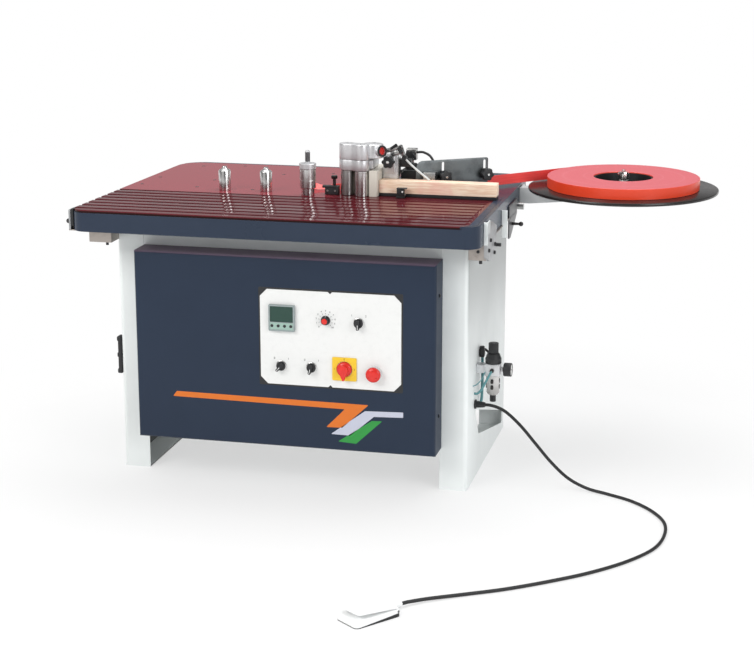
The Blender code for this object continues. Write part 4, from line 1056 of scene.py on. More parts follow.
def controller():
    """A temperature controller: a bezel with a sunk screen and a membrane with four keys."""
    low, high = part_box("temperature_controller")
    half, deep, tall = (high.x - low.x) / 2, high.y - low.y, (high.z - low.z) / 2
    screen_low = 0.0255 - tall
    at = facing(OUT, ((low.x + high.x) / 2, high.y, (low.z + high.z) / 2))

    def pane(inset, low, high, radius, start, end):
        return moved(plate(oblong((inset - half, low), (half - inset, high), radius), start, end), at)

    bezel = plate(oblong((-half, -tall), (half, tall), 0.0025), 0, deep, 0.0010, 3)
    case = settle("controller_bezel", bezel, BEZEL_GREY, at, "temperature_controller")
    cut(case, pane(0.0042, screen_low, tall - 0.0040, 0.0015, deep - 0.0022, 0.02))
    cut(case, pane(0.0042, 0.0045 - tall, screen_low - 0.0015, 0.0015, deep - 0.0008, 0.02))
    glass = pane(0.0045, screen_low + 0.0003, tall - 0.0043, 0.0012, deep - 0.0021, deep - 0.0013)
    settle("controller_screen", glass, SCREEN)
    membrane = pane(0.0045, 0.0048 - tall, screen_low - 0.0018, 0.0012, deep - 0.0007, deep - 0.0001)
    settle("controller_membrane", membrane, KEY_GREEN)
    step = (2 * half - 0.020) / 3
    keys = [(at @ Vector((0.010 - half + step * n, 0.0150 - tall, deep - 0.0001)), OUT) for n in range(4)]
    cap = mm("0 -0.1, 4.2 -0.1, 4.2 0.4, 3.4 0.9, 0 1.1")
    spread("controller_keys", keys, turned(cap, 28), BLACK)


controller()
print("controller")

# %% [markdown]
# The numbers are text objects turned into meshes. They ring the speed dial at even angles, from 0 at lower
# left round to 10, and each switch gets two figures. Little ink ticks between the numbers and the knob help
# the hand to set a speed.

# %% Numbers
FIRST_ANGLE = 225
WHOLE_TURN = 270


def number(text, x, z, size):
    data = bpy.data.curves.new(f"number_{text}", "FONT")
    data.body = text
    data.size = size
    data.align_x = "CENTER"
    data.align_y = "CENTER"
    data.extrude = 0.00008
    data.resolution_u = 3
    made = linked("number", data)
    mesh = plain_mesh(made)
    bpy.data.objects.remove(made)
    bm = bmesh.new()
    bm.from_mesh(mesh)
    bpy.data.meshes.remove(mesh)
    bmesh.ops.remove_doubles(bm, verts=bm.verts, dist=TINY)
    return moved(bm, on_panel(x, z) @ Matrix.Translation((0, 0, 0.00005)))


def dial_place(node):
    centre = middle(node)
    return centre.x, centre.z


marks, ticks = [], []
dial_x, dial_z = dial_place("speed_knob")
for step in range(11):
    angle = math.radians(FIRST_ANGLE - WHOLE_TURN * step / 10)
    x, z = dial_x + 0.0265 * math.cos(angle), dial_z + 0.0265 * math.sin(angle)
    marks.append(number(str(step), x, z, 0.0066))
    tick = block((0.0172, -0.0004, -0.00002), (0.0205, 0.0004, 0.00012))
    ticks.append(moved(tick, on_panel(dial_x, dial_z, math.degrees(angle))))
for node, texts in (("feed_selector", "12"), ("heater_selector", "01"), ("motor_selector", "01")):
    x, z = dial_place(node)
    for text, side in zip(texts, (-1, 1)):
        marks.append(number(text, x + side * 0.0195, z + 0.0200, 0.0080))
settle("panel_numbers", joined(*marks), BLACK_INK)
settle("dial_ticks", joined(*ticks), BLACK_INK)
print(len(marks), "numbers and", len(ticks), "ticks")

# %% [markdown]
# A good knob is turned, then milled: a skirt with a fine edge, a body with grip, and a pointer. The turn
# switches have a pear-shaped finger grip whose tail reaches past the skirt, with a white line on it.

# %% Speed knob and turn switches
def speed_knob():
    at = on_panel(*dial_place("speed_knob"))
    skirt = mm("0 0, 12.8 0, 13.1 0.6, 12.8 2.8, 11.8 3.6, 0 3.6")
    grip = plate(lobed(18, 0.0102, 0.0007, 6), 0.0030, 0.0145, 0.0006)
    settle("speed_knob_body", joined(turned(skirt), grip), BLACK, at, "speed_knob")
    cap = mm("0 14, 7.8 14, 8 15, 7.2 16.2, 4 17, 0 17.2")
    settle("speed_knob_cap", turned(cap), RED_PLASTIC, at, body="speed_knob")
    pointer = block((-0.0006, 0.0080, 0.0036), (0.0006, 0.0124, 0.0042), 0.0002)
    settle("speed_knob_pointer", pointer, WHITE_INK, at, body="speed_knob")


def turn_switch(node, roll):
    at = on_panel(*dial_place(node))
    ring = mm("11.8 0, 15 0, 15.3 1, 14.7 3.4, 13.4 4.2, 11.8 4.2")
    settle(f"{node}_collar", turned(ring, closed=True), BRIGHT_STEEL, at)
    skirt = mm("0 0, 11.5 0, 11.5 4.8, 13 5.4, 13 7.5, 11.8 9.2, 0 9.2")
    pear = mm("-5 10.5, 5 10.5, 3.8 -17, -3.8 -17")
    pear = rounded(pear, (0.0045, 0.0045, 0.0034, 0.0034))[::-1]
    switch = joined(turned(skirt), plate(pear, 0.0085, 0.0180, 0.0012, 3))
    turn = at @ Matrix.Rotation(math.radians(roll), 4, "Z")
    settle(f"{node}_grip", switch, BLACK, turn, node)
    line = block((-0.0007, -0.0150, 0.0179), (0.0007, -0.0020, 0.0182))
    settle(f"{node}_line", line, WHITE_INK, turn, body=node)


speed_knob()
for node, roll in (("feed_selector", 0), ("heater_selector", -42), ("motor_selector", -14)):
    turn_switch(node, roll)
print("speed knob and three turn switches")

# %% [markdown]
# The main switch is the red and yellow kind that can be locked. Its handle is a dome with a pointed tail.
# The emergency stop is a mushroom on a pale collar, with arrows that are only three sunk notches here.

# %% Main switch and emergency stop
MAIN_SWITCH_HEIGHT = 0.354


def main_switch():
    x, z = middle("main_handle").x, MAIN_SWITCH_HEIGHT
    at = on_panel(x, z)
    backing = plate(oblong((-0.0340, -0.0325), (0.0340, 0.0325), 0.0035), 0, 0.0032, 0.0008)
    yellow = settle("main_switch_plate", backing, YELLOW_PLASTIC, at)
    cut(yellow, moved(drum(0.0222, -0.001, 0.01), at))
    dome = mm("0 0, 20.5 0, 20.7 6, 20 8.5, 17.5 11, 11 12.8, 0 13.2")
    tail = rounded(mm("-4 -29, 4 -29, 0 0"), 0.0030)[:14]
    tail = plate(arc((0, 0), 0.0135, -35, 215, 20) + tail, 0.0100, 0.0200, 0.0018, 3)
    handle = joined(turned(dome), tail)
    settle("main_switch_handle", handle, RED_PLASTIC, at, "main_handle")
    marks = [number("0", x, z + 0.0275, 0.0075)]
    marks += [number(text, x + side, z, 0.0075) for text, side in (("1", -0.0282), ("2", 0.0282))]
    settle("main_switch_numbers", joined(*marks), BLACK_INK, Vector((0, -0.0032, 0)))


def emergency_stop():
    at = on_panel(*dial_place("estop_button"))
    collar = mm("10.8 0, 21.2 0, 21.6 1.2, 20.5 4.4, 18 5.2, 10.8 5.2")
    settle("estop_collar", turned(collar, closed=True), PALE_PLASTIC, at)
    cap = mm(
        "0 5.8, 9.8 5.8, 9.8 12.2, 19.2 12.8, 20.4 14.2, 20.5 18, 19.8 20.2, 17 22.8, 12 24.6, 6 25.4, "
        "0 25.6"
    )
    button = settle("estop_mushroom", turned(cap), RED_PLASTIC, at, "estop_button")
    for step in range(3):
        turn = Matrix.Rotation(math.radians(120 * step + 90), 4, "Z")
        notch = plate(mm("10.5 -2.2, 15 0, 10.5 2.2"), 0.0225, 0.03)
        cut(button, moved(notch, at @ turn))


main_switch()
emergency_stop()
print("main switch and emergency stop")

# %% [markdown]
# ## Guide posts
# Boards turn against two free rollers and one fixed post. Each is a bar off the lathe, so a profile says it
# all: a small relief at the foot, a chamfer at the top, and a bolt whose head stands in the end.

# %% Posts
def lathe(node, profile, finish, steps=72):
    """A turned part in the place of an upright node."""
    settle(f"{node}_turned", turned(profile, steps), finish, foot(node), node)


for node in ("post_roller_1", "post_roller_2"):
    profile = mm(
        "0 0, 16.2 0, 16.8 0.6, 16.8 2.8, 17.5 3.6, 17.5 55, 17 56.6, 15.8 57.4, 15 57.5, 14.8 58.8, "
        "10.8 60.4, 9 61.8, 8.2 63.4, 6.8 63.6, 6.6 67.2, 5.8 68.5, 2.8 69, 0 69"
    )
    lathe(node, profile, BRIGHT_STEEL)

profile = mm(
    "0 0, 18.2 0, 19 0.8, 19 19.5, 20 20.6, 22.2 21.2, 23 22, 23 43, 22.4 43.6, 22.4 45, 23 45.6, "
    "23 73.8, 22 75, 8.5 75, 8.5 20, 0 20"
)
lathe("edge_post", profile, BRIGHT_STEEL)


def threaded(radius, low, high, pitch, depth):
    """The profile of a screw thread, drawn as close rings."""
    points = []
    for turn in range(int((high - low) / pitch)):
        height = low + turn * pitch
        points += [(radius - depth, height), (radius, height + pitch * 0.5)]
    return points + [(radius - depth, high)]


collar = mm("0 0, 8 0, 8 49.4, 22.5 49.4, 24 50.8, 24 63.2, 22.6 64.8, 10.5 65, 10.5 66.2, 7.2 66.2")
collar += threaded(0.0065, 0.0672, 0.0985, 0.00125, 0.0007) + [(0.0052, 0.1010), (0, 0.1015)]
lathe("height_rod", collar, ALUMINIUM, 60)
sleeve = turned(mm("6.6 70, 7 70, 7 96, 6.6 96"), 48, True)
settle("height_rod_thread", sleeve, DARK_STEEL, foot("height_rod"), body="height_rod")
print("four posts")

# %% [markdown]
# ## Glue head
# The glue roller picks up hot glue, the pressure roller beside it pushes the strip against the board, and
# one cast head holds them both. The head's front has a shallow waist between the rollers. Behind the head
# stand the glue pot, the cutter with its air cylinder, and a few rods and knobs for setting them.

# %% The two rollers
BEARING_NECK = 0.0190

for node, finish in (("glue_roller", STEEL), ("press_roller", BRIGHT_STEEL)):
    low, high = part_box(node)
    radius, tall = (high.x - low.x) / 2, high.z - low.z
    face = tall - BEARING_NECK
    profile = [(0, 0), (radius - 0.0012, 0), (radius, 0.0010), (radius, 0.0040), (radius - 0.0006, 0.0044)]
    profile += [(radius - 0.0006, 0.0054), (radius, 0.0058), (radius, face - 0.0062)]
    profile += [(radius - 0.0007, face - 0.0058), (radius - 0.0007, face - 0.0046), (radius, face - 0.0042)]
    profile += [(radius, face - 0.0010), (radius - 0.0012, face), (0.0060, face), (0.0060, tall), (0, tall)]
    lathe(node, profile, finish)
print("glue roller and pressure roller")


# %% The cast head
def waisted(first, second, radius, waist):
    """A capsule round two centres whose long sides dip in a little."""
    along = (second - first).normalized()
    across = Vector((-along.y, along.x))
    heading = math.degrees(math.atan2(along.y, along.x))
    points = arc(second, radius, heading - 90, heading + 90, 24)
    for start, end, side in ((second, first, 1), (first, second, -1)):
        for step in range(1, 12):
            share = step / 12
            dip = waist * (0.5 - 0.5 * math.cos(2 * math.pi * share))
            point = start.lerp(end, share) + across * side * (radius - dip)
            points.append((point.x, point.y))
        if side == 1:
            points += arc(first, radius, heading + 90, heading + 270, 24)
    return points


HEAD_TOP = 0.917
outline = waisted(middle("glue_roller").xy, middle("press_roller").xy, 0.0223, 0.0042)
low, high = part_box("head_housing")
casting = plate(outline, low.z, high.z - 0.0002, 0.0007)
back_block = slab((0.655, 0.415, low.z + 0.001), (0.725, 0.490, high.z - 0.002), 0.0025)
settle("head_housing_cast", joined(casting, back_block), ALUMINIUM, node="head_housing")
cap = plate(outline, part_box("head_cap")[0].z, HEAD_TOP, 0.0024, 4)
lobe = [(0, 0.8770), (0.0286, 0.8770), (0.0300, 0.8784), (0.0300, HEAD_TOP - 0.0044)]
lobe += [(0.0291, HEAD_TOP - 0.0026), (0.0274, HEAD_TOP - 0.0014), (0, HEAD_TOP - 0.0012)]
spout = mm("0 0, 14.5 0, 14.5 40.5, 15.2 41.2, 15.2 43, 14.2 43.6, 11.8 43.6, 11.2 42.5, 11.2 30, 0 30")
port = facing((0.780, -0.610, 0.139), spot(0.722, 0.428, 0.8935))
cap = joined(cap, moved(turned(lobe, 96), spot(0.722, 0.428, 0)), moved(turned(spout), port))
settle("head_cap_cast", cap, ALUMINIUM, node="head_cap")
ring = turned(mm("11.2 40.2, 15.6 40.2, 15.6 44.4, 11.2 44.4"), 60, True)
settle("port_ring", ring, BLACK, port)
lens = turned(mm("0 34, 10.8 34, 10.8 37.6, 0 39.2"), 48)
settle("port_lens", lens, RED_PLASTIC, port)
places = [(x, y, HEAD_TOP - 0.0009) for x, y in ((0.6510, 0.4140), (0.6958, 0.4016))]
places += [(x, y, HEAD_TOP - 0.0020) for x, y in ((0.7220, 0.4440), (0.7380, 0.4230))]
screws("head_screws", UP, places, 0.0042, 0.0009)
print("head and cap")

# %% Glue pot
pot = mm("640 440, 717.5 440, 717.5 392, 742.5 392, 742.5 520, 640 520")
pot = rounded(pot, (0.006, 0.002, 0.005, 0.005, 0.006, 0.006))
low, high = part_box("glue_pot")
settle("glue_pot_cast", plate(pot, low.z, high.z, 0.0012), POT_ENAMEL, spot(0, 0, 0), "glue_pot")
print("glue pot")

# %% Cutter, cylinder and trimmer
column = slab((0.746, 0.4525, ON_TABLE), (0.788, 0.474, 0.8823), 0.0012)
rib = slab((0.752, 0.445, 0.8303), (0.780, 0.4550, 0.8783), 0.0010)
boss = moved(drum(0.006, -0.030, 0.012, 32), spot(0.770, 0.4615, 0.8903))
settle("cutter_column", joined(column, rib, boss), ALUMINIUM, node="cutter_frame")

profile = mm(
    "0 0, 10.8 0, 11.5 0.7, 11.5 9.3, 10.5 10, 10.5 66, 11.5 66.8, 11.5 77.3, 10.8 78, 6 78, 5.8 80, "
    "4 80.2, 4 89, 3.2 90, 0 90"
)
lathe("air_cylinder", profile, STEEL)

motor_case = slab((0.786, 0.500, ON_TABLE), (0.838, 0.546, 0.8323), 0.0035)
motor_end = turned(mm("0 829, 18 829, 18 846.5, 16.8 848.3, 0 848.3"))
trimmer = joined(motor_case, moved(motor_end, spot(0.812, 0.523, 0)))
settle("trim_motor_case", trimmer, BLACK, node="trim_motor")
places = [(x, 0.4998, z) for x in (0.7915, 0.8325) for z in (0.7765, 0.8265)]
screws("trimmer_screws", OUT, places, 0.0024, 0.0016, STEEL)
print("cutter")


# %% Star knobs
def star_grip(radius, depth, low, high, hub=0.0095):
    """A six-lobed grip with a domed face and a hub behind it."""
    grip = plate(lobed(6, radius, depth, 14), low, high, 0.0020, 4)
    back = turned([(0, 0.0003), (hub, 0.0003), (hub * 0.82, low + 0.001), (0, low + 0.001)], 36)
    dish = [(0, high - 0.001), (0.0085, high - 0.001), (0.0080, high + 0.0012), (0, high + 0.0016)]
    return joined(grip, back, turned(dish, 40))


pressure = facing(OUT, spot(0.766, 0.440, 0.8648))
shape = joined(star_grip(0.0182, 0.0036, 0.004, 0.0188), drum(0.0070, -0.0046, 0.0045, 36))
settle("pressure_knob_grip", shape, BLACK, pressure, "pressure_knob")
insert = turned(mm("0 19, 4.6 19, 4.2 20.8, 0 21.2"), 30)
settle("pressure_knob_insert", insert, BRIGHT_STEEL, pressure, body="pressure_knob")
print("pressure knob")

# %% [markdown]
# ## Fence and tape guide
# The pale board is the fence that the work slides along; it stands on a black strip. Behind it a slanted
# steel plate leads the edging strip from the reel to the head. Two knobs clamp the plate through its slots.

# %% Fence
low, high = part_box("fence_board")
board = block((low.x, low.y, low.z + 0.0094), high, 0.0012)
settle("fence_plank", board, WOOD, node="fence_board")
strip = block((low.x + 0.001, low.y + 0.002, low.z), (high.x - 0.001, high.y - 0.002, low.z + 0.0092), 0.0005)
settle("fence_foot_strip", strip, BLACK)
places = [Vector((low.x + x, high.y + 0.0002, low.z + 0.027)) for x in (0.040, 0.167, 0.294)]
spread("fence_screws", [(place, BACK) for place in places], countersunk(0.0045), DARK_STEEL)
print("fence")

# %% Limit switch in front of the fence
at = spot(0.812, 0.392, ON_TABLE)
base = block((-0.0135, -0.0060, 0.0000), (0.0100, 0.0070, 0.0060), 0.0008)
case = block((-0.0120, -0.0070, 0.0060), (0.0085, 0.0080, 0.0260), 0.0012)
visor = block((-0.0125, -0.0075, 0.0262), (0.0160, 0.0085, 0.0290), 0.0010)
settle("edge_sensor", joined(base, case, visor), BLACK, at)
lens = turned(mm("0 0, 2.6 0, 2.4 1.4, 0 2"), 24)
lens_place = facing(OUT, at + Vector((0.0045, -0.0070, 0.0190)))
settle("edge_sensor_lens", lens, WHITE_INK, lens_place)
root = block((0.0086, -0.0020, 0.0080), (0.0120, 0.0020, 0.0120), 0.0006)
feeler = pipe(mm("11.5 0 10, 13.5 -14 11.5"), 0.0011, 12)
settle("edge_sensor_arm", joined(root, feeler), STEEL, at)
print("edge sensor")

# %% Tape guide
GUIDE_TURN = math.radians(34.0)
GUIDE_LENGTH = 0.223
KNOB_PLACES = (0.083, 0.212)
heading = Vector((math.cos(GUIDE_TURN), math.sin(GUIDE_TURN), 0))
behind = Vector((-heading.y, heading.x, 0))
guide_start = spot(1.021, 0.600, 0.770) - heading * GUIDE_LENGTH
along_guide = Matrix.Translation(guide_start) @ Matrix.Rotation(GUIDE_TURN, 4, "Z")


def upright(depth):
    """Stands a plate up along the guide, a little way behind its line."""
    return along_guide @ Matrix.Rotation(math.radians(90), 4, "X") @ Matrix.Translation((0, 0, -depth))


outline = corners_of((0, 0.020), (GUIDE_LENGTH, 0.092))
sheet = plate(rounded(outline, (0.004, 0.004, 0.006, 0.022), 10), 0.0, 0.003, 0.0004)
guide = settle("tape_guide_sheet", sheet, GUIDE_STEEL, upright(0.003), "tape_guide_plate")
for place in KNOB_PLACES:
    slot = oblong((place - 0.004, 0.036), (place + 0.004, 0.086), 0.0039, 8)
    cut(guide, moved(plate(slot, -0.01, 0.02), upright(0.003)))
guide.data.shade_smooth()
guide.data.set_sharp_from_angle(angle=CREASE)

face = plate(oblong((0.040, 0.0003), (0.221, 0.058), 0.002), 0.0, 0.008, 0.0008)
stand = block((0.042, 0.012, 0.0003), (0.219, 0.045, 0.008), 0.0010)
stand = joined(moved(face, upright(0.019)), moved(stand, along_guide))
settle("guide_stand", stand, BLOCK_STEEL, node="guide_bracket")
places = [(along_guide @ Vector((x, 0.034, 0.0081)), UP) for x in (0.060, 0.130, 0.200)]
spread("guide_stand_screws", places, socket_head(0.0045, 0.0040), DARK_STEEL)
for which, place in enumerate(KNOB_PLACES, 1):
    node = f"guide_knob_{which}"
    at = guide_start + heading * place - behind * GAP + Vector((0, 0, 0.046))
    grip = star_grip(0.0186, 0.0032, 0.012, 0.0262, 0.0150)
    bolt = pipe(mm("0 0 -11, 0 0 1"), 0.0032, 20)
    settle(f"{node}_grip", joined(grip, bolt), BLACK, facing(-behind, at, 20 + which * 17), node)
    tip = turned(mm("0 24.5, 3.6 24.5, 3.6 30, 2.8 30.6, 0 30.6"), 30)
    settle(f"{node}_bolt", tip, BRIGHT_STEEL, facing(-behind, at), body=node)
print("tape guide and two knobs")

# %% [markdown]
# The strip itself is thin plastic on edge. The frame's own strip is exact already, so it only gets a finish.
# In front of the cutter a loose tail of it lies across the table, waving a little.

# %% Loose tail of strip
path = mm("636 478, 604 486, 572 478, 540 484, 512 502")
path = curve_through([spot(x, y, 0.7712) for x, y in path], 40)
tail = bmesh.new()
rings = []
for step, point in enumerate(path):
    lower = point + Vector((0, 0.010 * math.sin(step * 0.16), 0))
    upper = point + Vector((0, 0.013, 0.012 + 0.003 * math.sin(step * 0.22)))
    ring = [lower, upper, upper + Vector((0, 0.0010, 0.0004)), lower + Vector((0, 0.0010, 0.0))]
    rings.append([tail.verts.new(corner) for corner in ring])
settle("strip_tail", capped(tail, rings), FLAT_TAPE)
print("strip tail")

# %% [markdown]
# Between head and guide there is a small crowd of setting gear: a clamp with a lever, a bent hold-down rod
# that keeps the strip low, a second knob on a block, and an air line. All of it is fixed to the table.

# %% Setting gear
def link(first, last, radius, thick=0.0035):
    """A flat link with round ends between two places, seen from the front."""
    first, last = spot(*first), spot(*last)
    length = (last - first).length
    along = (last - first).normalized()
    normal = (Vector(OUT) - along * along.dot(Vector(OUT))).normalized()
    ends = arc((0, 0), radius, 90, 270, 12) + arc((length, 0), radius, -90, 90, 12)
    turn = Matrix((along, normal.cross(along), normal)).transposed().to_4x4()
    return moved(plate(ends, -thick / 2, thick / 2, thick * 0.15), Matrix.Translation(first) @ turn)


links = joined(
    link((0.757, 0.455, 0.893), (0.795, 0.455, 0.905), 0.0062),
    link((0.775, 0.449, 0.884), (0.801, 0.449, 0.893), 0.0055),
    link((0.795, 0.462, 0.905), (0.806, 0.462, 0.872), 0.0055),
)
settle("setting_links", links, STEEL)
lever = joined(
    bar((0.768, 0.456, 0.899), (0.785, 0.450, 0.911), 0.0042, 20),
    bar((0.792, 0.444, 0.904), (0.801, 0.441, 0.889), 0.0050, 20),
    bar((0.806, 0.452, 0.874), (0.806, 0.470, 0.874), 0.0068, 24),
    slab((0.786, 0.466, 0.846), (0.822, 0.490, 0.868), 0.0016),
)
settle("setting_lever", lever, BLACK)
bolts = mm("757 453 893, 795 453 905, 775 447 884, 801 447 893")
screws("setting_bolts", OUT, bolts, 0.0042, 0.0030)
rod = mm("770 476 905, 790 466 886, 835 451 849, 883 436 816.5")
tube("hold_rod", rod, 0.0029, PALE_PLASTIC, 30, 16)
settle("guide_end_block", slab((0.858, 0.468, ON_TABLE), (0.892, 0.500, 0.832), 0.0014), STEEL)
print("setting gear")

# %% Second knob and its air line
post = bar((0.795, 0.612, ON_TABLE), (0.795, 0.612, 0.874), 0.0060, 28)
head = slab((0.780, 0.600, 0.845), (0.810, 0.624, 0.878), 0.0015)
settle("strip_brake_post", joined(post, head), STEEL)
grip = star_grip(0.0160, 0.0033, 0.003, 0.0165)
settle("strip_brake_knob", grip, BLACK, facing(OUT, spot(0.795, 0.590, 0.862)))
line = mm("811 606 868, 832 600 869, 856 588 858, 872 582 826, 876 586 790, 874 596 772")
tube("air_line", line, 0.0036, RUBBER, 40, 14)
print("brake knob and air line")

# %% Side block left of the head
body = slab((0.589, 0.398, ON_TABLE), (0.627, 0.424, 0.7945), 0.0016)
lip = slab((0.582, 0.396, 0.7900), (0.622, 0.410, 0.7965), 0.0010)
settle("side_block", joined(body, lip), BLACK)
pin = bar((0.614, 0.411, 0.7940), (0.614, 0.411, 0.8160), 0.0045, 24)
cap = turned(mm("0 0, 8.5 0, 9 1.2, 9 7.8, 7.8 9, 0 9"), 36)
settle("side_block_knob", joined(pin, moved(cap, spot(0.614, 0.411, 0.8150))), GLOSS_BLACK)
screws("side_block_screws", OUT, [(x, 0.3978, 0.7820) for x in (0.597, 0.619)], 0.0028, 0.0020, STEEL)
print("side block")

# %% [markdown]
# ## Reel and arm
# The roll of edging lies flat on a black disc that turns on a spindle, out on an arm beside the table. Its
# flat faces are painted paler than its side: partly the cut edges of its layers, partly painted reflection.

# %% Reel
BORE = 0.085
ROLL = foot("tape_roll")
low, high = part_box("reel_disc")
radius, tall = (high.x - low.x) / 2, high.z - low.z
disc = [(0.0103, 0), (radius - 0.0030, 0), (radius - 0.0008, 0.0008), (radius, 0.0026)]
disc += [(radius, tall - 0.0026), (radius - 0.0008, tall - 0.0008), (radius - 0.0030, tall), (0.0103, tall)]
settle("reel_plate", turned(disc, 192, True), GLOSS_BLACK, foot("reel_disc"), "reel_disc")

low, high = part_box("tape_roll")
radius, tall = (high.x - low.x) / 2, high.z - low.z
coil = [(BORE, 0), (radius - 0.0012, 0), (radius, 0.0010), (radius, tall - 0.0010), (radius - 0.0012, tall)]
coil += [(BORE + 0.0015, tall), (BORE, tall - 0.0012)]
settle("tape_coil", turned(coil, 192, True), ROLLED_TAPE, ROLL, "tape_roll")
core = corners_of((BORE - 0.0045, 0.0002), (BORE - 0.0006, tall - 0.003))
settle("coil_core", turned(core, 96, True), BLACK, ROLL, body="reel")
print("disc and roll")

# %% Spindle and clips
SPINDLE = foot("reel_spindle")
low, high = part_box("reel_spindle")
profile = [(0, low.z), (0.0190, low.z), (0.0200, low.z + 0.001), (0.0200, ROLL.z - 0.0093)]
profile += [(0.0100, ROLL.z - 0.0093), (0.0100, ROLL.z + 0.0140), (0.0138, ROLL.z + 0.0140)]
profile += [(0.0145, ROLL.z + 0.0147), (0.0145, ROLL.z + 0.0193), (0.0138, ROLL.z + 0.0200)]
profile += [(0.0062, ROLL.z + 0.0205), (0.0060, ROLL.z + 0.0350), (0.0050, high.z), (0, high.z)]
SPINDLE.z = 0
settle("reel_axle", turned(profile, 60), STEEL, SPINDLE, "reel_spindle")


def strap(points, thick, width):
    """A flat strip bent along (x, z) points."""
    bm = bmesh.new()
    points = [Vector(point) for point in points]
    rings = []
    for step, point in enumerate(points):
        ahead = heading_at(points, step)
        side = Vector((-ahead.y, ahead.x)) * thick / 2
        corners = ((point + side, -1), (point + side, 1), (point - side, 1), (point - side, -1))
        rings.append([bm.verts.new((place.x, across * width / 2, place.y)) for place, across in corners])
    return capped(bm, rings)


clips = []
for angle, lift in ((0, 0.0), (90, 0.00126)):
    bend = [(-0.0150, 0.0)] + arc((-0.0105, 0.0190), 0.0045, 180, 90, 6)
    bend += arc((0.0105, 0.0190), 0.0045, 90, 0, 6) + [(0.0150, 0.0)]
    shape = strap([(x, z + lift) for x, z in bend], 0.0012, 0.0085)
    clips.append(moved(shape, Matrix.Rotation(math.radians(angle + 25), 4, "Z")))
nut = turned(mm("0 23, 6.2 23, 6.2 29, 5.2 30, 0 30"), HEXAGON)
settle("reel_clips", joined(*clips, nut), BRIGHT_STEEL, SPINDLE + Vector((0, 0, ROLL.z + 0.0200)))
arm_top = Vector((0, 0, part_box("reel_arm")[1].z))
settle("spindle_nut", drum(0.0095, -0.0205, -0.0143, HEXAGON), DARK_STEEL, SPINDLE + arm_top)
softened("reel_arm", ARM_PAINT, 0.0009)
screws("arm_screws", RIGHT, [(1.1062, 0.712, z) for z in (0.7260, 0.7500)], 0.0046, 0.0038)
print("spindle, clips and arm")

# %% [markdown]
# ## Air filter and cord gland
# Compressed air comes in through a small filter with a regulator. Its knob, bonnet, body, gauge and bowl all
# stand on one axis. The bowl sits in a guard with a slot, so that the water level can be read.

# %% Filter regulator
AIR = foot("filter_bowl")
AIR.z = 0
PORT = 0.3165
case = block((-0.0215, -0.0215, 0.3000), (0.0215, 0.0215, 0.3335), 0.0022)
bracket = block((-0.0457, -0.0150, 0.3060), (-0.0175, 0.0150, 0.3290), 0.0012)
settle("regulator_case", joined(case, bracket), ALUMINIUM, AIR, "regulator_body")
bonnet = mm("0 330, 21.6 333.8, 22.5 335, 22.5 347.5, 21.4 349, 17.2 360.2, 16 361.5, 0 361.5")
settle("regulator_bonnet", turned(bonnet), BLACK, AIR)
grip = plate(lobed(24, 0.0140, 0.0009, 8), 0.3618, 0.3915, 0.0013, 3)
settle("regulator_grip", grip, BLACK, AIR, "regulator_knob")
dip = turned(mm("0 390.5, 8 390.5, 7.6 391.7, 0 391.7"), 40)
settle("regulator_grip_cap", dip, GLOSS_BLACK, AIR, body="regulator_knob")

guard = mm(
    "0 242.5, 11.8 242.5, 13.5 243.6, 17.2 248.5, 17.8 250, 17.8 292, 18.6 292.6, 19.5 293.4, "
    "19.5 299, 18.8 299.7, 0 299.7"
)
settle("bowl_guard", turned(guard), BOWL, AIR, "filter_bowl")
windows = []
for turn in (-90, 0, 90):
    for height in (0.2672, 0.2842):
        pane = plate(oblong((-0.0042, -0.0068), (0.0042, 0.0068), 0.0041), 0.0, 0.0018, 0.0004)
        out = Vector((math.sin(math.radians(turn)), -math.cos(math.radians(turn)), 0))
        windows.append(moved(pane, facing(out, AIR + out * 0.0172 + Vector((0, 0, height)))))
settle("bowl_windows", joined(*windows), GLOSS_BLACK)
drain = plate(lobed(10, 0.0085, 0.0009, 8), 0.2225, 0.2422, 0.0010)
settle("drain_wing", drain, BLACK, AIR, "drain_valve")
print("filter regulator")

# %% Gauge
at = middle("pressure_gauge")
at.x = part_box("pressure_gauge")[0].x
look = facing(RIGHT, at)
shell = mm("0 0, 5 0, 5 8, 16.8 8, 18.2 8.8, 19 10.5, 19 28.8, 18.4 30, 17.2 30, 16.8 28.4, 0 28.4")
settle("gauge_case", turned(shell), BLACK, look, "pressure_gauge")
settle("gauge_face", drum(0.0166, 0.0283, 0.0287), WHITE_INK, look)
marks = []
for step in range(21):
    mark = block((-0.00022, 0.0135 if step % 5 else 0.0122, 0.0286), (0.00022, 0.0152, 0.0289))
    marks.append(moved(mark, Matrix.Rotation(math.radians(-135 + step * 13.5), 4, "Z")))
needle = block((-0.0004, -0.0035, 0.0288), (0.0004, 0.0118, 0.0292))
needle = moved(needle, Matrix.Rotation(math.radians(48), 4, "Z"))
hub = drum(0.0018, 0.0286, 0.0295, 24)
settle("gauge_marks", joined(*marks, needle, hub), BLACK_INK, look)
settle("gauge_nut", drum(0.0075, GAP, 0.0052, HEXAGON), ALUMINIUM, look)
print("gauge")

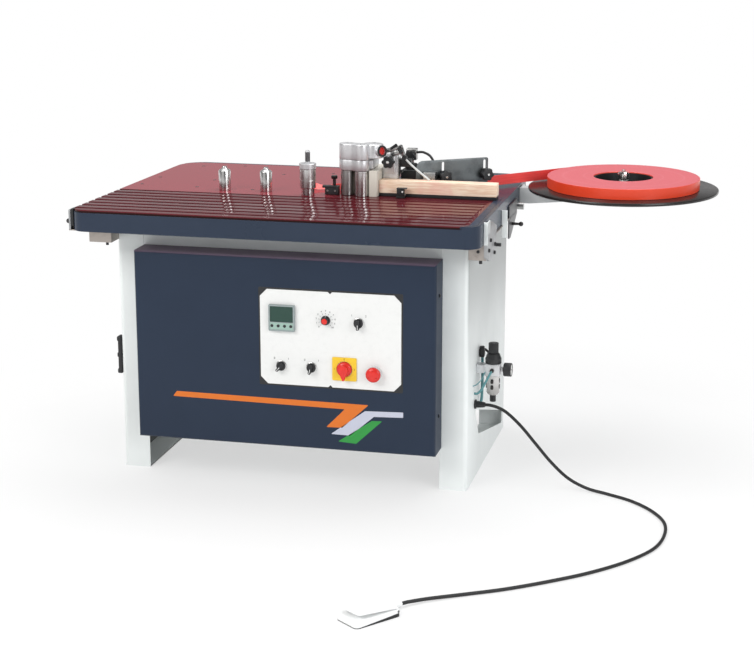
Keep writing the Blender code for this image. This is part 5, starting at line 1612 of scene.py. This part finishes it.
# %% Air lines
FITTING = mm("0 0, 6 0, 6 6, 4.5 7.5, 4.5 10, 0 10")
ends = [moved(turned(FITTING, 32), facing((0, y, 0), AIR + Vector((0, y * 0.0212, PORT)))) for y in (-1, 1)]
settle("line_fittings", joined(*ends), GLOSS_BLACK)
supply = [(1.0950, 0.3360, PORT), (1.0950, 0.3460, PORT), (1.0880, 0.3560, 0.3260)]
supply += mm("1070 360 350, 1056 360 359, 1049.5 360 360")
tube("supply_line", supply, 0.0034, RUBBER, 32, 14)
thin = mm("1076 280 312, 1070 270 296, 1060 256 284, 1049.5 242 280")
tube("drain_line", thin, 0.0014, HOSE_PLASTIC, 24, 10)
top = turned(mm("0 0, 6.8 0, 6.4 10, 0 11"), 32)
elbow = slab((1.0493, 0.3320, 0.3400), (1.0640, 0.3500, 0.3620), 0.0020)
settle("line_elbow", joined(elbow, moved(top, spot(1.0570, 0.3410, 0.3600))), BLACK)
down = mm("1058 338.5 340.5, 1059.2 338.5 300, 1058.8 337.5 250, 1057 336.5 213, 1049.5 336 206")
tube("valve_line", down, 0.0040, HOSE_PLASTIC, 40, 14)
print("air lines")

# %% Cord gland
at = middle("cable_gland")
at.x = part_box("cable_gland")[0].x
nut = mm("0 0, 12.6 0, 13.5 0.8, 13.5 4.2, 12.6 5, 10.5 5.2, 10.2 6, 0 6")
nut = turned(nut, HEXAGON)
neck = [(0, 0.0058), (0.0096, 0.0058)]
for ring in range(6):
    height, thinner = 0.0070 + ring * 0.0030, ring * 0.0003
    neck += [(0.0098 - thinner, height), (0.0098 - thinner, height + 0.0018)]
    neck += [(0.0090 - thinner, height + 0.0020), (0.0090 - thinner, height + 0.0028)]
neck = turned(neck + mm("7.4 26.2, 6.6 30, 0 30"), 48)
settle("gland_body", joined(nut, neck), BLACK, facing(RIGHT, at), "cable_gland")
print("gland")

# %% [markdown]
# ## Brackets under the table corners
# A steel block is bolted under each front corner. On the right it carries a white angle, a hinge plate with
# black screws and, further back, a second angle and a dark gusset for the thumb screw.

# %% Left corner
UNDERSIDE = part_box("table_frame")[0].z - GAP
CLAMP_LOW = UNDERSIDE - 0.044


def pin(radius, steps=24):
    """A short pin with a slightly tapered, domed end."""
    return turned([(0, 0), (radius, 0), (radius - 0.0002, 0.0100), (0, 0.0110)], steps)


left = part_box("bracket_left")[0].x - CORNER.x
clamp = slab((-0.005, 0.100, CLAMP_LOW), (0.060, 0.160, UNDERSIDE), 0.0012)
sheet = slab((left, 0.045, UNDERSIDE - 0.003), (0.020, 0.125, UNDERSIDE), 0.0004)
settle("left_clamp", joined(clamp, sheet), BLOCK_STEEL, node="bracket_left")
settle("left_plate", slab((left, 0.045, UNDERSIDE - 0.002), (-0.0345, 0.080, 0.764), 0.0010), HINGE_GREY)
settle("left_pad", slab((-0.0343, 0.0455, UNDERSIDE + 0.010), (-0.0263, 0.0795, 0.766), 0.0008), BLACK)
settle("left_pin", pin(0.0042), BLACK, spot(0.040, 0.120, CLAMP_LOW - 0.0105))
print("left corner")

# %% Right corner
EDGE = 1.100


def side_plate(corners, radius, start, thick):
    """A plate against the table's right side, from its (y, z) corners."""
    outline = rounded([(CORNER.y + y, z) for y, z in corners], radius)
    turn = Matrix(((0, 0, 1, 0), (1, 0, 0, 0), (0, 1, 0, 0), (0, 0, 0, 1)))
    return moved(plate(outline, CORNER.x + start, CORNER.x + start + thick, 0.0006), turn)


clamp = slab((EDGE - 0.042, 0.100, CLAMP_LOW), (EDGE + 0.005, 0.160, UNDERSIDE), 0.0012)
sheet = slab((EDGE - 0.015, 0.110, UNDERSIDE - 0.003), (EDGE + 0.0045, 0.600, UNDERSIDE), 0.0004)
settle("right_clamp", joined(clamp, sheet), BLOCK_STEEL, node="bracket_right")
hinge = mm("95 672, 150 655, 235 668, 245 735, 160 762, 95 762")
settle("hinge_plate", side_plate(hinge, 0.009, EDGE + GAP, 0.0082), HINGE_GREY)
flange = mm("88 738, 118 738, 125 771, 88 771")
flange = side_plate(flange, 0.004, EDGE + 0.0088, 0.0032)
web = slab((EDGE + GAP, 0.0870, 0.710), (EDGE + 0.0120, 0.0905, 0.771), 0.0010)
settle("front_angle", joined(web, flange), WHITE_COAT)
flange = mm("371 675, 413 694, 413 739, 371 752")
web = slab((EDGE + GAP, 0.3700, 0.675), (EDGE + 0.0165, 0.3740, 0.752), 0.0010)
settle("rear_angle", joined(web, side_plate(flange, 0.004, EDGE + GAP, 0.0040)), WHITE_COAT)
gusset = mm("483 649, 510 649, 619 700, 619 744, 483 744")
settle("gusset_plate", side_plate(gusset, 0.004, EDGE + GAP, 0.0042), DARK_STEEL)
end = bar((EDGE + GAP, 0.655, 0.714), (EDGE + 0.0180, 0.655, 0.714), 0.0105, 32)
stem = bar((EDGE - 0.010, 0.655, 0.716), (EDGE + 0.0110, 0.655, 0.716), 0.0040, 20)
settle("bar_end", joined(end, stem), STEEL)
places = [(EDGE + 0.0085, y, z) for y, z in ((0.145, 0.713), (0.212, 0.690), (0.205, 0.668), (0.120, 0.690))]
screws("hinge_screws", RIGHT, places, 0.0052, 0.0042, BLACK)
settle("hinge_stud", bar((EDGE + 0.0085, 0.232, 0.684), (EDGE + 0.0230, 0.232, 0.684), 0.0050, 24), BLACK)
screws("clamp_screws", OUT, [(EDGE - 0.016, 0.0995, UNDERSIDE - 0.020)], 0.0042, 0.0030, BLACK)
settle("right_pin", pin(0.0046), BLACK, spot(EDGE - 0.011, 0.112, CLAMP_LOW - 0.0105))
print("right corner")


# %% Thumb screws
def ball_screw(node, length, look):
    """A screw with a plain shank and a ball at its end."""
    low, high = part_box(node)
    at = middle(node)
    at.x = low.x if look == RIGHT else high.x
    shank = [(0, 0), (0.0044, 0), (0.0045, 0.0006), (0.0035, length - 0.0120), (0.0035, length - 0.0118)]
    ball = arc((0, length - 0.0067), 0.0067, -58, 90, 16)[:-1] + [(0, length)]
    settle(f"{node}_turned", turned(shank + ball, 40), GLOSS_BLACK, facing(look, at), node)


ball_screw("thumb_screw_right", 0.0320, RIGHT)
ball_screw("thumb_screw_left", 0.0125, LEFT)
print("thumb screws")

# %% [markdown]
# ## Foot pedal
# The pedal is a low moulded base with a treadle hinged at the cord's end. A dark wedge along its lower edge
# is painted shade, ribs on the treadle keep a shoe from slipping, and a ribbed boot guards the cord.

# %% Pedal
SHELL = Vector((PEDAL_HALF, 0.039))
SHADE_WEDGE_HALF = SHELL + Vector((0.0002, 0.0002))
HINGE = 0.057
turn = Matrix.Rotation(PEDAL_TURN, 4, "Z")
stand = Matrix.Translation(spot(*PEDAL_MIDDLE)) @ turn
base = plate(oblong(-SHELL, SHELL, 0.0115, 8), 0.0, 0.0180, 0.0030, 4)
boot = mm("0 -10, 8.5 -10, 8.5 1")
for ring in range(6):
    start, wide = 0.0020 + ring * 0.0046, 0.0083 - ring * 0.00032
    boot += [(wide, start), (wide, start + 0.0026)]
    boot += [(wide - 0.0010, start + 0.0030), (wide - 0.0010, start + 0.0040)]
boot = moved(turned(boot + [(0.0062, BOOT), (0, BOOT)], 40), facing(RIGHT, (PEDAL_HALF, 0, 0.0095)))
settle("pedal_base_shell", joined(base, boot), PEDAL_PAINT, stand, "pedal_base")

# painted shade: the dark wedge's top slopes up towards the cord
shade_wedge = plate(oblong(-SHADE_WEDGE_HALF, SHADE_WEDGE_HALF, 0.0117, 8), 0.0, 0.0064)
for vertex in shade_wedge.verts:
    if vertex.co.z > 0.003:
        vertex.co.z = 0.0012 + (vertex.co.x + SHADE_WEDGE_HALF.x) / (2 * SHADE_WEDGE_HALF.x) * 0.0085
settle("pedal_pad", shade_wedge, RUBBER, stand)

hinge = stand @ Matrix.Translation((HINGE, 0, 0.0183)) @ Matrix.Rotation(math.radians(5.0), 4, "Y")
outline = rounded(corners_of((-0.114, -0.036), (0.0, 0.036)), (0.012, 0.004, 0.004, 0.012), 8)
settle("treadle_shell", plate(outline, 0.0004, 0.0088, 0.0026, 4), PEDAL_PAINT, hinge, "pedal_treadle")
ribs = [-0.103 + rib * 0.0085 for rib in range(9)]
ribs = [block((x, -0.026, 0.0086), (x + 0.0030, 0.026, 0.0093), 0.0003, 2) for x in ribs]
settle("treadle_ribs", joined(*ribs), PEDAL_PAINT, hinge, body="pedal_treadle")
across = turn @ Vector((0, 1, 0))
pins = [(stand @ Vector((HINGE, side * SHADE_WEDGE_HALF.y, 0.0130)), across * side) for side in (-1, 1)]
spread("pedal_pins", pins, countersunk(0.0030), DARK_STEEL)
print("pedal")

# %% [markdown]
# ## Cover and cabinet details
# Three vinyl stripes turn the corner of the cover: an orange bar, a pale band and a green patch. They are
# cut from thin film, so each is a plate a tenth of a millimetre proud of the paint.

# %% Vinyl stripes
def film(name, corners, finish):
    """Film on the cover's front from (x, z) corners."""
    outline = rounded([(CORNER.x + x, z) for x, z in corners], 0.0012, 3)
    turn = Matrix(((1, 0, 0, 0), (0, 0, -1, COVER_FRONT), (0, 1, 0, 0), (0, 0, 0, 1)))
    settle(name, plate(outline, 0.00002, 0.00014), finish, turn)


stripe = mm("246 260, 235 245, 726.5 240, 674 186, 719 187, 793 256")
film("stripe_orange", stripe, ORANGE_VINYL)
band = mm("783 238.5, 889 242, 889 227, 808 224, 741 166, 687 167")
film("stripe_pale", band, PALE_VINYL)
film("stripe_green", mm("802 212, 831 213, 758 144, 707 147"), GREEN_VINYL)
print("three stripes")

# %% [markdown]
# Screws hold the cover at its sides, and rows of louvres let the motor breathe at the rear. A louvre is one
# pressed lip, repeated, so it goes through the same kind of tree as the screws do.

# %% Screws and louvres
low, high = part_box("front_cover")
y = spot(0, 0.123, 0).y
places = [(Vector((x, y, z)), look) for x, look in ((high.x, RIGHT), (low.x, LEFT)) for z in (0.560, 0.225)]
spread("cover_screws", places, socket_head(0.0052, 0.0030), BLACK)

low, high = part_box("rear_panel")
centre = (low.x + high.x) / 2
lips = [Vector((centre + x, high.y - 0.0004, 0.300 + row * 0.022)) for x in (-0.22, 0.22) for row in range(7)]
lip = plate(oblong((-0.060, -0.0040), (0.060, 0.0040), 0.0039, 8), 0.0, 0.0032, 0.0020, 3)
spread("rear_louvres", [(place, BACK) for place in lips], lip, WHITE_COAT)
# painted shade: a thin black plate under each lip stands for the dark opening of its slot
slot_shade = plate(oblong((-0.056, -0.0012), (0.056, 0.0012), 0.0011, 4), 0.0, 0.0007)
spread("rear_slots", [(place - Vector((0, 0, 0.0052)), BACK) for place in lips], slot_shade, BLACK)
xs, zs = (low.x + 0.018, centre, high.x - 0.018), (low.z + 0.018, high.z - 0.018)
places = [(Vector((x, high.y, z)), BACK) for x in xs for z in zs]
spread("rear_screws", places, socket_head(0.0050, 0.0028), DARK_STEEL)

handle = [block((-0.0125, 0.0, 0.276), (-0.0003, 0.026, 0.377), 0.0030)]
handle += [block((-0.0150, -0.001, z), (-0.0003, 0.027, z + 0.014), 0.0035) for z in (0.272, 0.319, 0.366)]
place = Vector((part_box("side_frame_left")[0].x, spot(0, 0.172, 0).y, 0))
settle("side_handle", joined(*handle), BLACK, place)
print("screws and louvres")
